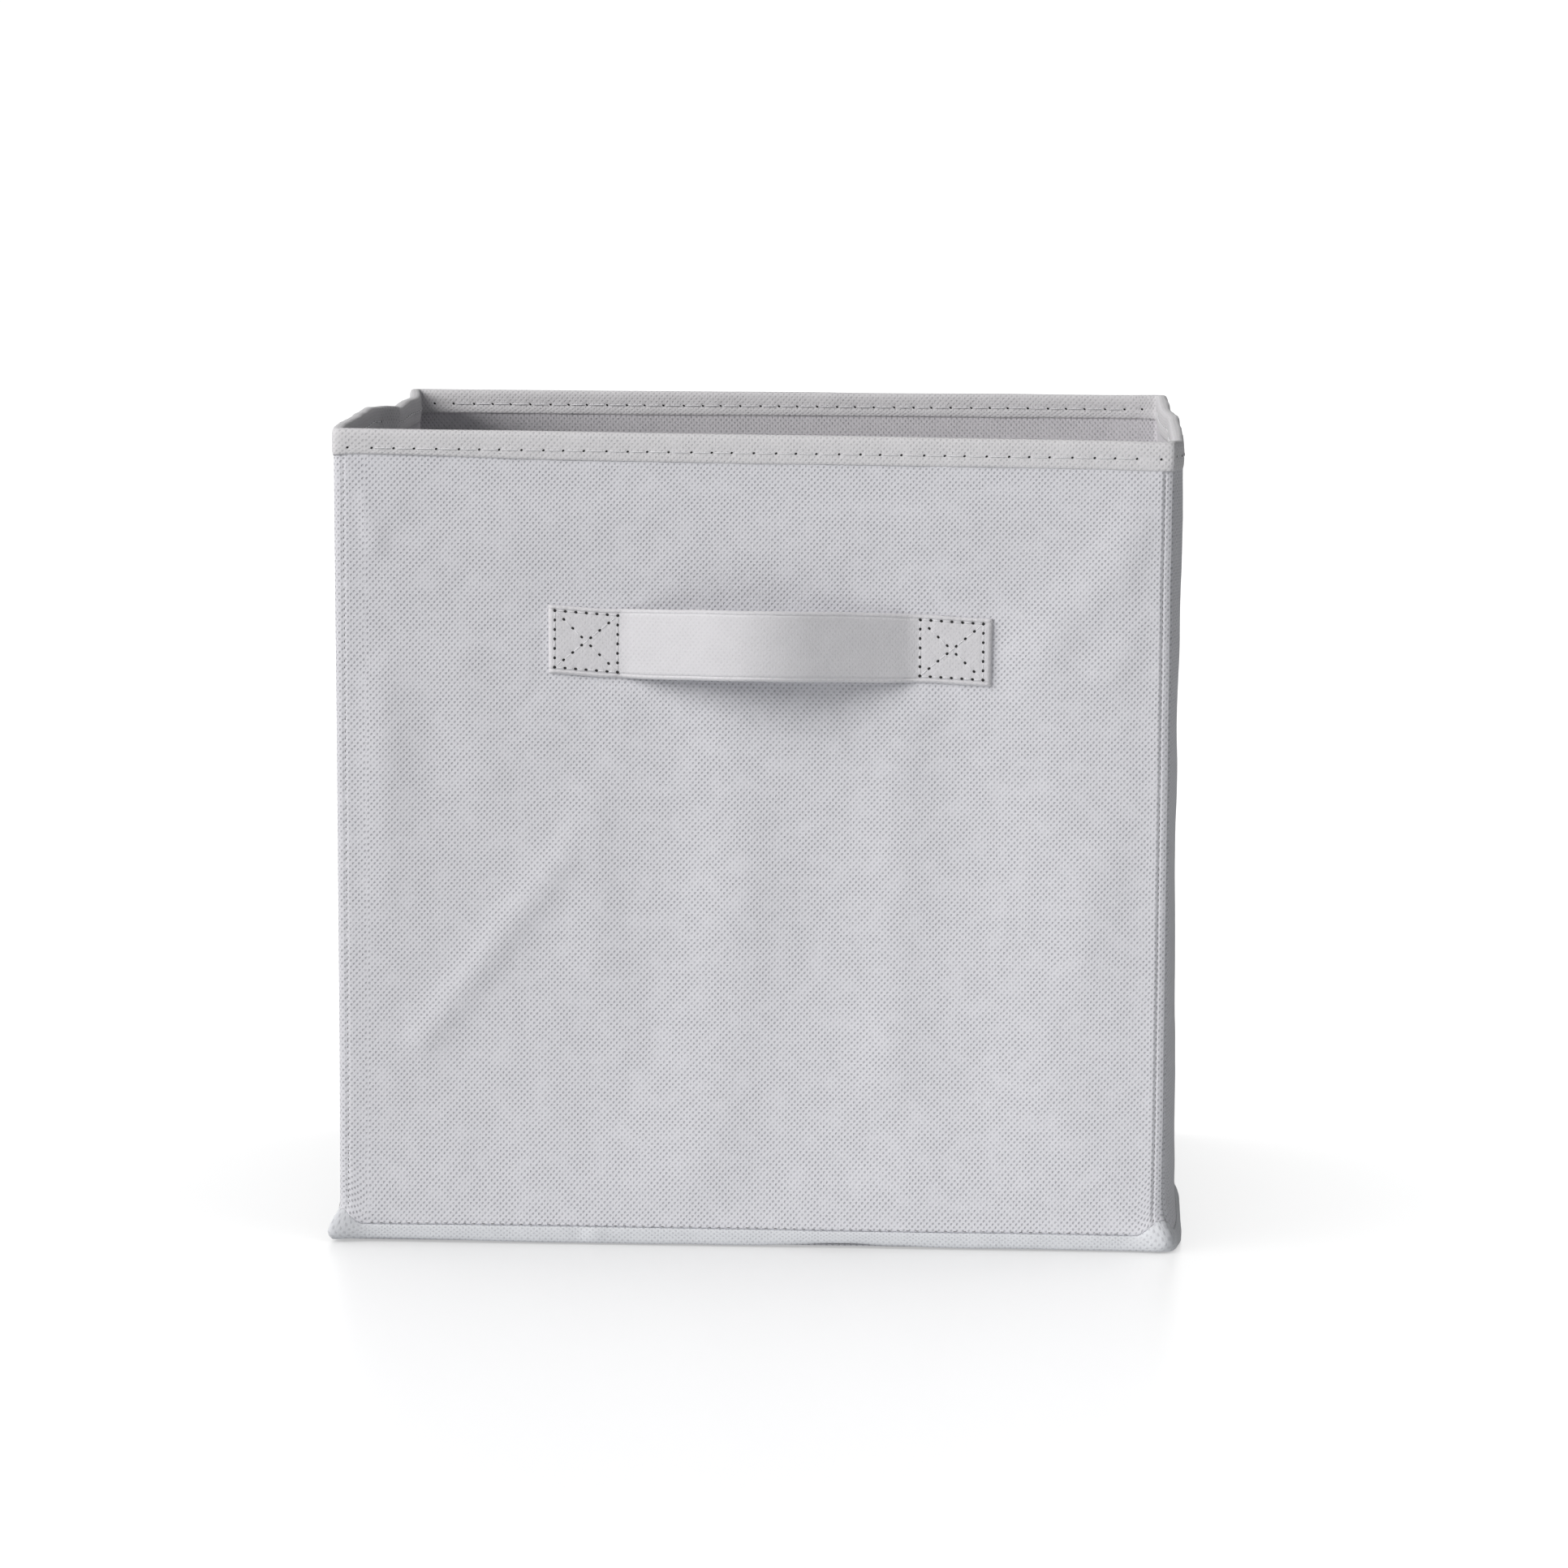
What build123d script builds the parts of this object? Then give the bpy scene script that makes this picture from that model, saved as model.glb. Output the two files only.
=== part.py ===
from build123d import *
import os

# Collapsible fabric storage bin: four board-stiffened fabric walls, a fabric
# bottom with a hinged stiff insert, and one sewn strap handle on the front.
# Frame: +Z up, origin on the floor at the middle of the bottom, front faces -Y.
# Millimetres.

# ---- driving dimensions -------------------------------------------------
width = 280.0            # outer width, along X
depth = 280.0            # outer depth, along Y
height = 274.0           # floor to top of the rim binding
fabric_t = 0.5           # one layer of spunbond fabric
board_t = 2.0            # grey board stiffener
wall_t = board_t + 2 * fabric_t
binding_w = 9.5          # visible height of the folded rim binding
binding_t = 0.5
hem_h = 7.0              # padded hem round the bottom
hem_out = 0.8            # how far the hem stands proud of the wall outside
hem_in = 0.3             # and inside
corner_set_back = 3.2    # board edge to outer corner of the front and back walls
side_set_back = 4.0      # board edge to outer corner of the side walls
crease_gap = 2.6         # between the two boards of a side wall
thread_w = 0.45
thread_t = 0.25
rim_seam_drop = 6.6      # rim stitch row below the top
board_r = 4.0            # rounded board corners

insert_w = 266.0
insert_l = 266.0
insert_z = 1.3
insert_t = board_t + 2 * fabric_t
insert_front_y = -131.0   # rear edge at 135, clear of the back wall

strap_w = 23.3           # strap width, up the wall
strap_t = 1.4            # folded strap thickness
strap_z = 202.0          # strap centre height
strap_x = 5.55           # strap centre, sewn slightly off the middle
loop_half = 50.05        # half the free span between the sewn ends
loop_rise = 15.0         # clear gap behind the middle of the loop
tab_l = 23.9             # sewn end length
box_w = 21.2             # stitched box, along X
box_h = 18.8             # stitched box, along Z

# fold pivots, all vertical: wall to side wall, and at the middle of a side wall.
# Folded flat, the inner faces lie 6.5 apart (room for the rim binding and the
# upright insert) and the outer faces of the two half walls 8 apart, because the
# soft side walls bow outwards.
pivot_x = 134.5          # wall to side wall, 2.5 inside the inner face
pivot_y = 133.0          # 4.0 inside the inner face
crease_x = 144.0         # 4.0 outside the outer face
insert_pivot_y = 133.5   # the insert's hinge line, along X
insert_pivot_z = 2.6

half_w = width / 2
half_d = depth / 2
panel_top = height - binding_t

os.makedirs("parts", exist_ok=True)


def save(shape, name):
    shape.label = name
    export_step(shape, f"parts/{name}.step")


# ---- wall planes: local x runs along the wall, local y is up, z is outward ----
front_plane = Plane(origin=(0, -half_d, 0), x_dir=(1, 0, 0), z_dir=(0, -1, 0))
back_plane = Plane(origin=(0, half_d, 0), x_dir=(-1, 0, 0), z_dir=(0, 1, 0))
left_plane = Plane(origin=(-half_w, 0, 0), x_dir=(0, -1, 0), z_dir=(-1, 0, 0))
right_plane = Plane(origin=(half_w, 0, 0), x_dir=(0, 1, 0), z_dir=(1, 0, 0))

full = half_w - corner_set_back
far = half_d - side_set_back
near = crease_gap / 2
walls = [
    ("front", front_plane, -full, full),
    ("back", back_plane, -full, full),
    ("left_front", left_plane, near, far),
    ("left_rear", left_plane, -far, -near),
    ("right_front", right_plane, -far, -near),
    ("right_rear", right_plane, near, far),
]

for wall, plane, u0, u1 in walls:
    mid_u = (u0 + u1) / 2
    span = u1 - u0
    # cross-section plane at the u1 end: local x is outward, local y is up
    section = Plane(
        origin=plane.from_local_coords(Vector(u1, 0, 0)),
        x_dir=plane.z_dir,
        z_dir=-plane.x_dir,
    )

    # outer fabric: a plain panel from the hem to the rim
    with BuildPart() as outer_panel:
        with BuildSketch(plane.offset(-fabric_t)):
            with Locations((mid_u, (hem_h + panel_top) / 2)):
                Rectangle(span, panel_top - hem_h)
        extrude(amount=fabric_t)
    save(outer_panel.part, f"{wall}_outer_panel")

    # stiffener board with rounded corners, slipped between the two fabrics
    with BuildPart() as board:
        with BuildSketch(plane.offset(-fabric_t - board_t)):
            with Locations((mid_u, (hem_h + 0.4 + panel_top - 0.6) / 2)):
                RectangleRounded(span - 0.4, panel_top - hem_h - 1.0, board_r)
        extrude(amount=board_t)
    save(board.part, f"{wall}_board")

    # lining fabric
    with BuildPart() as lining:
        with BuildSketch(plane.offset(-wall_t)):
            with Locations((mid_u, (hem_h + panel_top) / 2)):
                Rectangle(span - 0.4, panel_top - hem_h)
        extrude(amount=fabric_t)
    save(lining.part, f"{wall}_lining")

    # rim binding: a strip folded over the top edge, down both faces
    with BuildPart() as binding:
        with BuildSketch(section):
            with Locations((-wall_t / 2, height - binding_w / 2)):
                Rectangle(wall_t + 2 * binding_t, binding_w)
            with Locations((-wall_t / 2, panel_top - binding_w / 2)):
                Rectangle(wall_t, binding_w, mode=Mode.SUBTRACT)
        extrude(amount=span)
        top_edges = binding.faces().sort_by(Axis.Z)[-1].edges()
        long_edges = top_edges.filter_by(lambda e: e.length > 10)
        fillet(long_edges, 0.45)
    save(binding.part, f"{wall}_rim_binding")

    # bottom hem: several folded layers, rolled round
    with BuildPart() as hem:
        with BuildSketch(section):
            with Locations(((hem_out - wall_t - hem_in) / 2, hem_h / 2)):
                RectangleRounded(wall_t + hem_out + hem_in, hem_h, 1.2)
        extrude(amount=span)
    save(hem.part, f"{wall}_bottom_hem")

    # threads: rim row outside and inside, and the row that closes the board pocket
    seam_z = height - rim_seam_drop
    with BuildPart() as threads:
        with BuildSketch(plane.offset(binding_t)):
            with Locations((mid_u, seam_z)):
                SlotOverall(span - 6, thread_w)
        extrude(amount=thread_t)
        with BuildSketch(plane.offset(-wall_t - binding_t - thread_t)):
            with Locations((mid_u, seam_z)):
                SlotOverall(span - 6, thread_w)
        extrude(amount=thread_t)
        with BuildSketch(plane):
            with Locations((mid_u, hem_h + 0.6)):
                SlotOverall(span - 6, thread_w)
        extrude(amount=thread_t)
    save(threads.part, f"{wall}_threads")

# ---- fabric round the four corners -------------------------------------------
for corner, sx, sy in [
    ("front_left", -1, -1),
    ("front_right", 1, -1),
    ("back_left", -1, 1),
    ("back_right", 1, 1),
]:
    leg_x = corner_set_back - 0.2
    leg_y = side_set_back - 0.3
    with BuildPart() as corner_fabric:
        with BuildSketch():
            with Locations((sx * (half_w - leg_x / 2), sy * (half_d - fabric_t / 2))):
                Rectangle(leg_x, fabric_t)
            with Locations((sx * (half_w - fabric_t / 2), sy * (half_d - leg_y / 2))):
                Rectangle(fabric_t, leg_y)
        extrude(amount=panel_top)
        corner_edge = (
            corner_fabric.edges()
            .filter_by(Axis.Z)
            .sort_by_distance((sx * half_w, sy * half_d, panel_top / 2))[0]
        )
        fillet(corner_edge, 0.45)
    save(corner_fabric.part, f"corner_{corner}")

# ---- stitched web down the middle of each side wall ---------------------------
for side, plane in [("left", left_plane), ("right", right_plane)]:
    with BuildPart() as crease_web:
        with BuildSketch(plane.offset(-1.1)):
            with Locations((0, panel_top / 2)):
                Rectangle(crease_gap - 0.6, panel_top)
        extrude(amount=1.0)
    save(crease_web.part, f"{side}_crease_web")

# ---- fabric bottom --------------------------------------------------------
inner = half_w - wall_t - hem_in - 0.5
with BuildPart() as base_fabric:
    with BuildSketch():
        RectangleRounded(2 * inner, 2 * inner, 3)
    extrude(amount=fabric_t)
save(base_fabric.part, "base_fabric")

# ---- stiff bottom insert, hinged along its rear edge ---------------------------
insert_mid_y = insert_front_y + insert_l / 2
with BuildPart() as insert_cover:
    with BuildSketch(Plane.XY.offset(insert_z)):
        with Locations((0, insert_mid_y)):
            Rectangle(insert_w, insert_l)
    extrude(amount=insert_t)
    front_corners = insert_cover.edges().filter_by(Axis.Z)
    fillet(front_corners, 3)
    # the pocket for the board is open at the rear, where the tape closes it
    with BuildSketch(Plane.XY.offset(insert_z + fabric_t)):
        with Locations((0, insert_mid_y + 5)):
            Rectangle(insert_w - 2 * fabric_t - 6, insert_l - 2 * fabric_t + 9)
    extrude(amount=board_t, mode=Mode.SUBTRACT)
save(insert_cover.part, "base_insert_cover")

with BuildPart() as insert_board:
    with BuildSketch(Plane.XY.offset(insert_z + fabric_t)):
        with Locations((0, insert_mid_y + 0.5)):
            RectangleRounded(insert_w - 8.0, insert_l - 3.0, 1.5)
    extrude(amount=board_t)
save(insert_board.part, "base_insert_board")

with BuildPart() as insert_tape:
    with BuildSketch(Plane.XY.offset(insert_z + insert_t)):
        with Locations((0, insert_front_y + insert_l - 6)):
            Rectangle(250, 12)
    extrude(amount=0.3)
save(insert_tape.part, "base_insert_hinge_tape")

with BuildPart() as wall_tape:
    with BuildSketch(back_plane.offset(-wall_t - 0.3)):
        with Locations((0, hem_h + 0.6 + 6)):
            Rectangle(250, 12)
    extrude(amount=0.3)
save(wall_tape.part, "wall_hinge_tape")

# ---- strap handle ------------------------------------------------------------
# one band: a sewn end, the free loop bowed away from the wall, a sewn end
loop_inner_r = (loop_half**2 + loop_rise**2) / (2 * loop_rise)
loop_centre_y = -half_d - 0.3 - loop_rise + loop_inner_r
with BuildPart() as strap:
    with BuildSketch(Plane.XY.offset(strap_z - strap_w / 2)):
        with Locations((strap_x, loop_centre_y)):
            Circle(loop_inner_r + strap_t)
            Circle(loop_inner_r, mode=Mode.SUBTRACT)
        with Locations((strap_x, -half_d - 50)):
            Rectangle(2 * loop_half + 0.4, 100, mode=Mode.INTERSECT)
        for sx in (-1, 1):
            with Locations(
                (strap_x + sx * (loop_half + tab_l / 2), -half_d - strap_t / 2)
            ):
                Rectangle(tab_l, strap_t)
    extrude(amount=strap_w)
    left_end = strap.edges().filter_by(Axis.Y).sort_by(Axis.X)[:2]
    right_end = strap.edges().filter_by(Axis.Y).sort_by(Axis.X)[-2:]
    fillet(left_end + right_end, 0.8)
save(strap.part, "handle_strap")

# a stitched box with a cross through each sewn end
for side, sx in [("left", -1), ("right", 1)]:
    box_mid = strap_x + sx * (loop_half + 0.6 + box_w / 2)
    diagonal = (box_w**2 + box_h**2) ** 0.5
    angle = Vector(box_w, box_h).get_angle(Vector(1, 0))
    with BuildPart() as box_thread:
        with BuildSketch(front_plane.offset(strap_t)):
            with Locations((box_mid, strap_z)):
                Rectangle(box_w, box_h)
                Rectangle(
                    box_w - 2 * thread_w, box_h - 2 * thread_w, mode=Mode.SUBTRACT
                )
                Rectangle(diagonal - 1.5, thread_w, rotation=angle)
                Rectangle(diagonal - 1.5, thread_w, rotation=-angle)
        extrude(amount=thread_t)
    save(box_thread.part, f"handle_threads_{side}")
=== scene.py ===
import math
import bpy
import numpy as np
from mathutils import Vector, Matrix


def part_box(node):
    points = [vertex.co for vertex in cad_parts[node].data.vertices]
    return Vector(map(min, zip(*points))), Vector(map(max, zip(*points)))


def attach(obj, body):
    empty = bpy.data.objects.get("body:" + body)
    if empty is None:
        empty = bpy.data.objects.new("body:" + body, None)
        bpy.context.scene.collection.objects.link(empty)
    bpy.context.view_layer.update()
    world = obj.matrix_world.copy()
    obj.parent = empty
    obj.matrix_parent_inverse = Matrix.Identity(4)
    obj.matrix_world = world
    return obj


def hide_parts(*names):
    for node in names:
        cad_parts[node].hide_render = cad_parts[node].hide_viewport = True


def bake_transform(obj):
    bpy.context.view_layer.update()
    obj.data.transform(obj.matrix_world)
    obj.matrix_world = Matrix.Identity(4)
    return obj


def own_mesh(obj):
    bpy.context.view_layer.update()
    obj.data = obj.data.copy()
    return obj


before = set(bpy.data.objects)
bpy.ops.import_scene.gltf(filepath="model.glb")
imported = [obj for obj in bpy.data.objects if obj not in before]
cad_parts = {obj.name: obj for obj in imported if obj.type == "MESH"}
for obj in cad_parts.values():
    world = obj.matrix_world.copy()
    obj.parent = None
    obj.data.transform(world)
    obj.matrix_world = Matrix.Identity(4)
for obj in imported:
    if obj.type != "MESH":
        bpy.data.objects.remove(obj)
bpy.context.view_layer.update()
scene = bpy.context.scene
MM = 0.001

# ---------------------------------------------------------------- camera
F_PX = 9500.0
YAW, PITCH, ROLL = (math.radians(v) for v in (2.33, 5.85, 0.46))
fwd = Vector((-math.sin(YAW) * math.cos(PITCH), math.cos(YAW) * math.cos(PITCH), -math.sin(PITCH)))
rgt = Vector((math.cos(YAW), math.sin(YAW), 0.0))
up = rgt.cross(fwd)
r2 = math.cos(ROLL) * rgt + math.sin(ROLL) * up
u2 = -math.sin(ROLL) * rgt + math.cos(ROLL) * up
cam_data = bpy.data.cameras.new("camera")
cam = bpy.data.objects.new("camera", cam_data)
scene.collection.objects.link(cam)
cam_data.sensor_width = 36.0
cam_data.lens = F_PX / 1932.0 * 36.0
cam_data.clip_start, cam_data.clip_end = 0.1, 60.0
cam.matrix_world = Matrix((
    (r2.x, u2.x, -fwd.x, 0.116),
    (r2.y, u2.y, -fwd.y, -2.720),
    (r2.z, u2.z, -fwd.z, 0.422),
    (0, 0, 0, 1)))
scene.camera = cam
scene.view_settings.view_transform = "Standard"
scene.view_settings.look = "None"

# ---------------------------------------------------------------- numbers, in mm
HALF = 140.0           # outer face of a wall from the centre
TOP = 274.0
STRIP = 10.0           # half length of a corner strip, along each wall
CREASE = 5.0           # half width of the strip over a side wall's fold
PITCH_ST = 7.1         # stitch pitch along the rim
Z_ROW = 268.8          # rim stitch row
WALLS = ["front", "right", "back", "left"]
E = {"front": (1.0, 0.0), "right": (0.0, 1.0), "back": (-1.0, 0.0), "left": (0.0, -1.0)}
N = {"front": (0.0, -1.0), "right": (1.0, 0.0), "back": (0.0, 1.0), "left": (-1.0, 0.0)}


# ---------------------------------------------------------------- helpers
def smooth(a, b, x):
    t = np.clip((np.asarray(x, float) - a) / (b - a), 0.0, 1.0)
    return t * t * (3 - 2 * t)


_tables = {}


def vnoise(x, y, seed):
    """Smooth value noise from -1 to 1 on a seeded lattice."""
    if seed not in _tables:
        _tables[seed] = np.random.RandomState(seed).rand(64, 64) * 2 - 1
    g = _tables[seed]
    x, y = np.broadcast_arrays(np.asarray(x, float), np.asarray(y, float))
    xi, yi = np.floor(x).astype(int), np.floor(y).astype(int)
    fx, fy = x - xi, y - yi
    fx, fy = fx * fx * fx * (fx * (fx * 6 - 15) + 10), fy * fy * fy * (fy * (fy * 6 - 15) + 10)
    x0, x1, y0, y1 = xi % 64, (xi + 1) % 64, yi % 64, (yi + 1) % 64
    return ((g[x0, y0] * (1 - fx) + g[x1, y0] * fx) * (1 - fy)
            + (g[x0, y1] * (1 - fx) + g[x1, y1] * fx) * fy)


def seg(u, z, u0, z0, u1, z1, sigma, height):
    """A soft ridge of a given height along a line from (u0, z0) to (u1, z1)."""
    du, dz = u1 - u0, z1 - z0
    t = np.clip(((u - u0) * du + (z - z0) * dz) / (du * du + dz * dz + 1e-9), 0, 1)
    d2 = (u - u0 - t * du) ** 2 + (z - z0 - t * dz) ** 2
    return height * np.exp(-d2 / (2 * sigma * sigma))


def hem_h(wall, u):
    """Height of the seam over the soft bottom hem."""
    u = np.asarray(u, float)
    corner = 3.6 * np.clip((np.abs(u) - 131.0) / 6.0, 0, 1.15) ** 1.7
    if wall == "front":
        return 5.6 - 0.25 * (u / 140.0) + 0.22 * vnoise(u / 31.0, 2.5, 5) + corner
    return 6.6 + 0.45 * vnoise(u / 34.0, WALLS.index(wall) + 0.5, 6) * smooth(140.0, 125.0, np.abs(u)) + corner


def low_z(z, h):
    """Rows of the shell near the hem follow the seam's height h, where they are drawn for a seam at 7."""
    return z + (h - 7.0) * smooth(34.0, 8.0, z)


def open_seam(u):
    """The seam over the hem is a valley along a wall, and flattens out on the soft corners."""
    return 0.15 + 0.85 * smooth(137.0, 131.5, np.abs(u))


def tuck(z, u):
    """The shell's edge, rolled in at the seam, with the pressed line of the stitching just above."""
    g = open_seam(u)
    return g * (-0.62 * np.exp(-(np.maximum(z - 6.95, 0) / 0.36) ** 1.6) - 0.13 * np.exp(-((z - 8.15) / 0.22) ** 2) * smooth(60.0, -60.0, u))


def lean_right(z):
    return np.interp(z, [0, 14, 40, 220, 274], [0.0, 0.0, 0.35, 0.7, 1.15])


def bow(wall, u, z):
    """How far a wall, board and all, stands out from flat, at wall position u and height z."""
    u, z = np.broadcast_arrays(np.asarray(u, float), np.asarray(z, float))
    if wall == "right":
        rim = smooth(150.0, 262.0, z)
        t = np.clip((u + 140.0) / 140.0, 0, 1)
        amp = np.interp(z, [0, 3, 6, 12, 30, 52, 71, 109, 147, 184, 203, 222, 274], [6.7, 6.2, 5.4, 4.6, 4.0, 4.1, 3.0, 2.4, 2.1, 2.2, 2.65, 3.2, 3.2])
        # the hem leaves the corner at once, the wall above it more slowly
        k = smooth(20.0, 8.0, z)
        low = ((1 - k) * (1 - np.abs(2 * t - 1) ** 3.6) ** 0.9 + k * (1 - np.abs(2 * t - 1) ** 8.0) ** 0.7) * smooth(0.0, 0.24, 1 - t)
        top = 4.1 - 0.6 * t
        front_half = amp * low * (1 - rim) + top * smooth(0.0, 0.15, t) ** 0.85 * rim
        # the lean of the front corner takes up part of the bow beside it
        front_half = front_half - lean_right(z) * smooth(-60.0, -130.0, u) * smooth(0.0, 1.5, front_half)
        crease = -0.7 * (1 - 0.7 * rim) * np.exp(-(u / 7.0) ** 2)
        t2 = np.clip(u / 140.0, 0, 1)
        # the rear half falls in a little at the hem, where the front half's bulge folds against it
        rear = (0.7 - 1.6 * smooth(24.0, 9.0, z)) * np.sin(np.pi * t2) + 3.5 * rim * (1 - smooth(0.02, 0.56, t2))
        return np.where(u < 0, front_half, rear) + crease
    if wall == "left":
        rim = smooth(150.0, 262.0, z)
        t = np.clip(u / 140.0, 0, 1)
        fr = (0.9 + 1.5 * rim) * (1 - np.abs(2 * t - 1) ** 3.0) * smooth(0.0, 0.12, t)
        t2 = np.clip(-u / 140.0, 0, 1)
        mid = 1.3 * np.sin(np.pi * t2) * (1 - rim)
        rr = -2.5 * rim * smooth(0.0, 0.25, 1 - t2) * (0.55 + 0.45 * smooth(0.0, 0.1, t2))
        crease = -(1.4 + 1.9 * rim) * np.exp(-(u / 8.0) ** 2)
        return np.where(u > 0, fr, mid + rr) + crease
    return np.zeros_like(u)


FRONT_FOLDS = [
    # u0, z0, u1, z1, sigma, height
    (-7, 176, -4, 120, 11, 0.50), (-5, 120, -10, 35, 12, 0.52),
    (50, 178, 49, 60, 7.5, 0.42),
    (103, 190, 104, 60, 13, 0.55),
    (-110, 70, -64, 131, 4.2, 0.62),
    (-54, 150, -52, 96, 5.5, 0.32),
    (-128, 190, -124, 120, 7, 0.40),
    (-98, 196, -92, 160, 6.5, 0.34),
    (99, 205, 133, 243, 6.5, 0.48), (118, 196, 136, 214, 5, 0.28),
    (-20, 232, 70, 246, 9, 0.22), (-96, 238, -40, 248, 8, 0.18),
    (-72, 40, -20, 30, 12, 0.30), (64, 30, 118, 34, 14, 0.26),
    (116, 132, 112, 96, 6, 0.30),
    (-134, 259, -127, 236, 2.4, 0.55), (-126, 262, -120, 250, 2.6, 0.22),
]
OTHER_FOLDS = {
    "back": [(-60, 60, -20, 150, 10, 0.6), (30, 200, 44, 80, 12, 0.55), (86, 60, 112, 140, 7, 0.5),
             (-110, 200, -98, 120, 9, 0.5), (-30, 30, 60, 26, 12, 0.35), (-90, 236, -20, 226, 8, 0.3),
             (10, 150, 24, 110, 5, 0.35), (60, 214, 110, 232, 8, 0.35)],
    "left": [(70, 60, 96, 150, 9, 0.6), (-60, 190, -76, 90, 11, 0.6), (30, 200, 22, 120, 8, 0.4),
             (-110, 60, -96, 130, 8, 0.45), (110, 210, 100, 150, 8, 0.4), (40, 30, 110, 28, 12, 0.35),
             (-30, 236, -90, 228, 8, 0.3)],
    "right": [(-70, 70, -92, 160, 10, 0.55), (62, 190, 74, 80, 11, 0.6), (-28, 190, -24, 110, 8, 0.4),
              (108, 60, 98, 130, 8, 0.45), (-112, 200, -104, 150, 8, 0.35), (30, 30, 110, 28, 12, 0.35),
              (30, 232, 90, 226, 8, 0.3)],
}
STRAP_Z = 204.2
TABS = [(-55.9, 204.35, math.radians(-3.7)), (67.0, 203.25, math.radians(-2.9))]


def wrinkle_out(wall, u, z):
    """Soft folds of the outer fabric over its board, outward."""
    u, z = np.broadcast_arrays(np.asarray(u, float), np.asarray(z, float))
    k = WALLS.index(wall)
    h = np.zeros_like(u)
    for f in (FRONT_FOLDS if wall == "front" else OTHER_FOLDS[wall]):
        h = h + 1.75 * seg(u, z, *f)
    h = h + 0.30 + 0.24 * vnoise(u / 26.0 + 3 * k, z / 34.0, 11 + k) + 0.09 * vnoise(u / 11.0, z / 13.0 + 5 * k, 21 + k)
    h = h + 0.02 * vnoise(u / 4.2, z / 4.6, 31 + k)
    edge = smooth(0.0, 15.0, 137.0 - np.abs(u)) * smooth(262.0, 246.0, z) * smooth(9.0, 22.0, z)
    if wall in ("left", "right"):
        edge = edge * smooth(2.0, 14.0, np.abs(u))
    h = h * edge
    if wall == "front":
        for uc, zc, _ in TABS:
            d = np.maximum(np.abs(u - uc) - 13.0, np.abs(z - zc) - 12.5)
            h = h * smooth(0.0, 9.0, d)
        # the pull of the two sewn tabs on the panel
        for uc, zc, _ in TABS:
            h = h + seg(u, z, uc - 11, zc - 16, uc - 15, zc - 40, 4.0, 0.16) + seg(u, z, uc + 11, zc - 16, uc + 13, zc - 38, 4.0, 0.14)
    # and is pressed by the binding's edge
    h = h - 0.03 * np.exp(-((z - 263.6) / 1.6) ** 2)
    return h


def wrinkle_in(wall, u, z):
    """Soft folds of the lining, inward."""
    u, z = np.broadcast_arrays(np.asarray(u, float), np.asarray(z, float))
    k = WALLS.index(wall)
    h = 0.30 + 0.30 * vnoise(u / 24.0 + 7 * k, z / 30.0, 41 + k) + 0.12 * vnoise(u / 10.0, z / 12.0, 51 + k)
    for i, f in enumerate(OTHER_FOLDS.get(wall, OTHER_FOLDS["back"])):
        h = h + seg(-u * (1 if i % 2 else -1), z, f[0] * 0.9, 274 - f[1], f[2] * 0.9, 274 - f[3], f[4] * 0.8, f[5] * 1.3)
    if wall == "left":
        h = h + seg(u, z, -118, 262, -112, 200, 3.2, 1.5) + seg(u, z, -66, 258, -80, 190, 5.0, 0.9) + seg(u, z, 44, 262, 36, 210, 5.0, 0.8)
    edge = smooth(0.0, 12.0, 134.0 - np.abs(u)) * smooth(264.4, 254.0, z) * smooth(6.0, 18.0, z)
    if wall in ("left", "right"):
        edge = edge * smooth(3.0, 14.0, np.abs(u))
    return h * edge


# how far each corner of the hem sticks out, along x and along y
FLARES = {(-1, -1): (3.15, 3.15), (1, -1): (2.2, 2.0), (1, 1): (0.8, 0.8), (-1, 1): (2.55, 2.55)}


def flare(x, y, z):
    """The hem's corners, which stick out a little as soft ears."""
    ox, oy = np.zeros_like(x), np.zeros_like(x)
    for (sx, sy), (ax, ay) in FLARES.items():
        d2 = (x - sx * HALF) ** 2 + (y - sy * HALF) ** 2
        f = smooth(12.5, 3.0, z) * (1 - 0.35 * smooth(3.0, 0.0, z)) * np.exp(-d2 / 52.0)
        ox, oy = ox + sx * f * ax, oy + sy * f * ay
    return ox, oy


def lean(x, y, z):
    """The two front corners aren't quite upright: out a little at the top, the left one in at the bottom."""
    left = np.interp(z, [0, 14, 60, 150, 274], [0.7, 1.2, 0.9, -0.1, -1.4]) * np.exp(-((x + HALF) / 22.0) ** 2) * smooth(-40.0, -130.0, y)
    return left + lean_right(z) * np.exp(-((np.minimum(x, HALF) - HALF) / 22.0) ** 2) * smooth(-60.0, -130.0, y)


def rise(wall, u, z):
    """The rim isn't quite level: its front left corner stands a little higher."""
    u = np.asarray(u, float)
    if wall == "front":
        r = 1.9 * (0.5 - u / 280.0)
    elif wall == "left":
        lumps = (0.35 * vnoise(u / 15.0, 0.5, 7) + 0.25 * vnoise(u / 6.5, 1.5, 7)) * smooth(137.0, 115.0, np.abs(u))
        r = np.interp(u, [-140, -126, -95, -67, -42, -20, 5, 25, 60, 120, 140], [0.9, 0.9, -0.2, 0.1, -0.3, 0.3, 2.1, 2.6, 2.0, 1.5, 1.9]) + lumps
    elif wall == "right":
        r = 1.4 * smooth(20.0, 140.0, u) + (0.4 * vnoise(u / 21.0, 2.5, 7) - 0.2) * smooth(137.0, 115.0, np.abs(u))
    else:
        r = 0.9 + 0.5 * smooth(60.0, -140.0, u)
    return r * smooth(150.0, 266.0, z)


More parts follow.
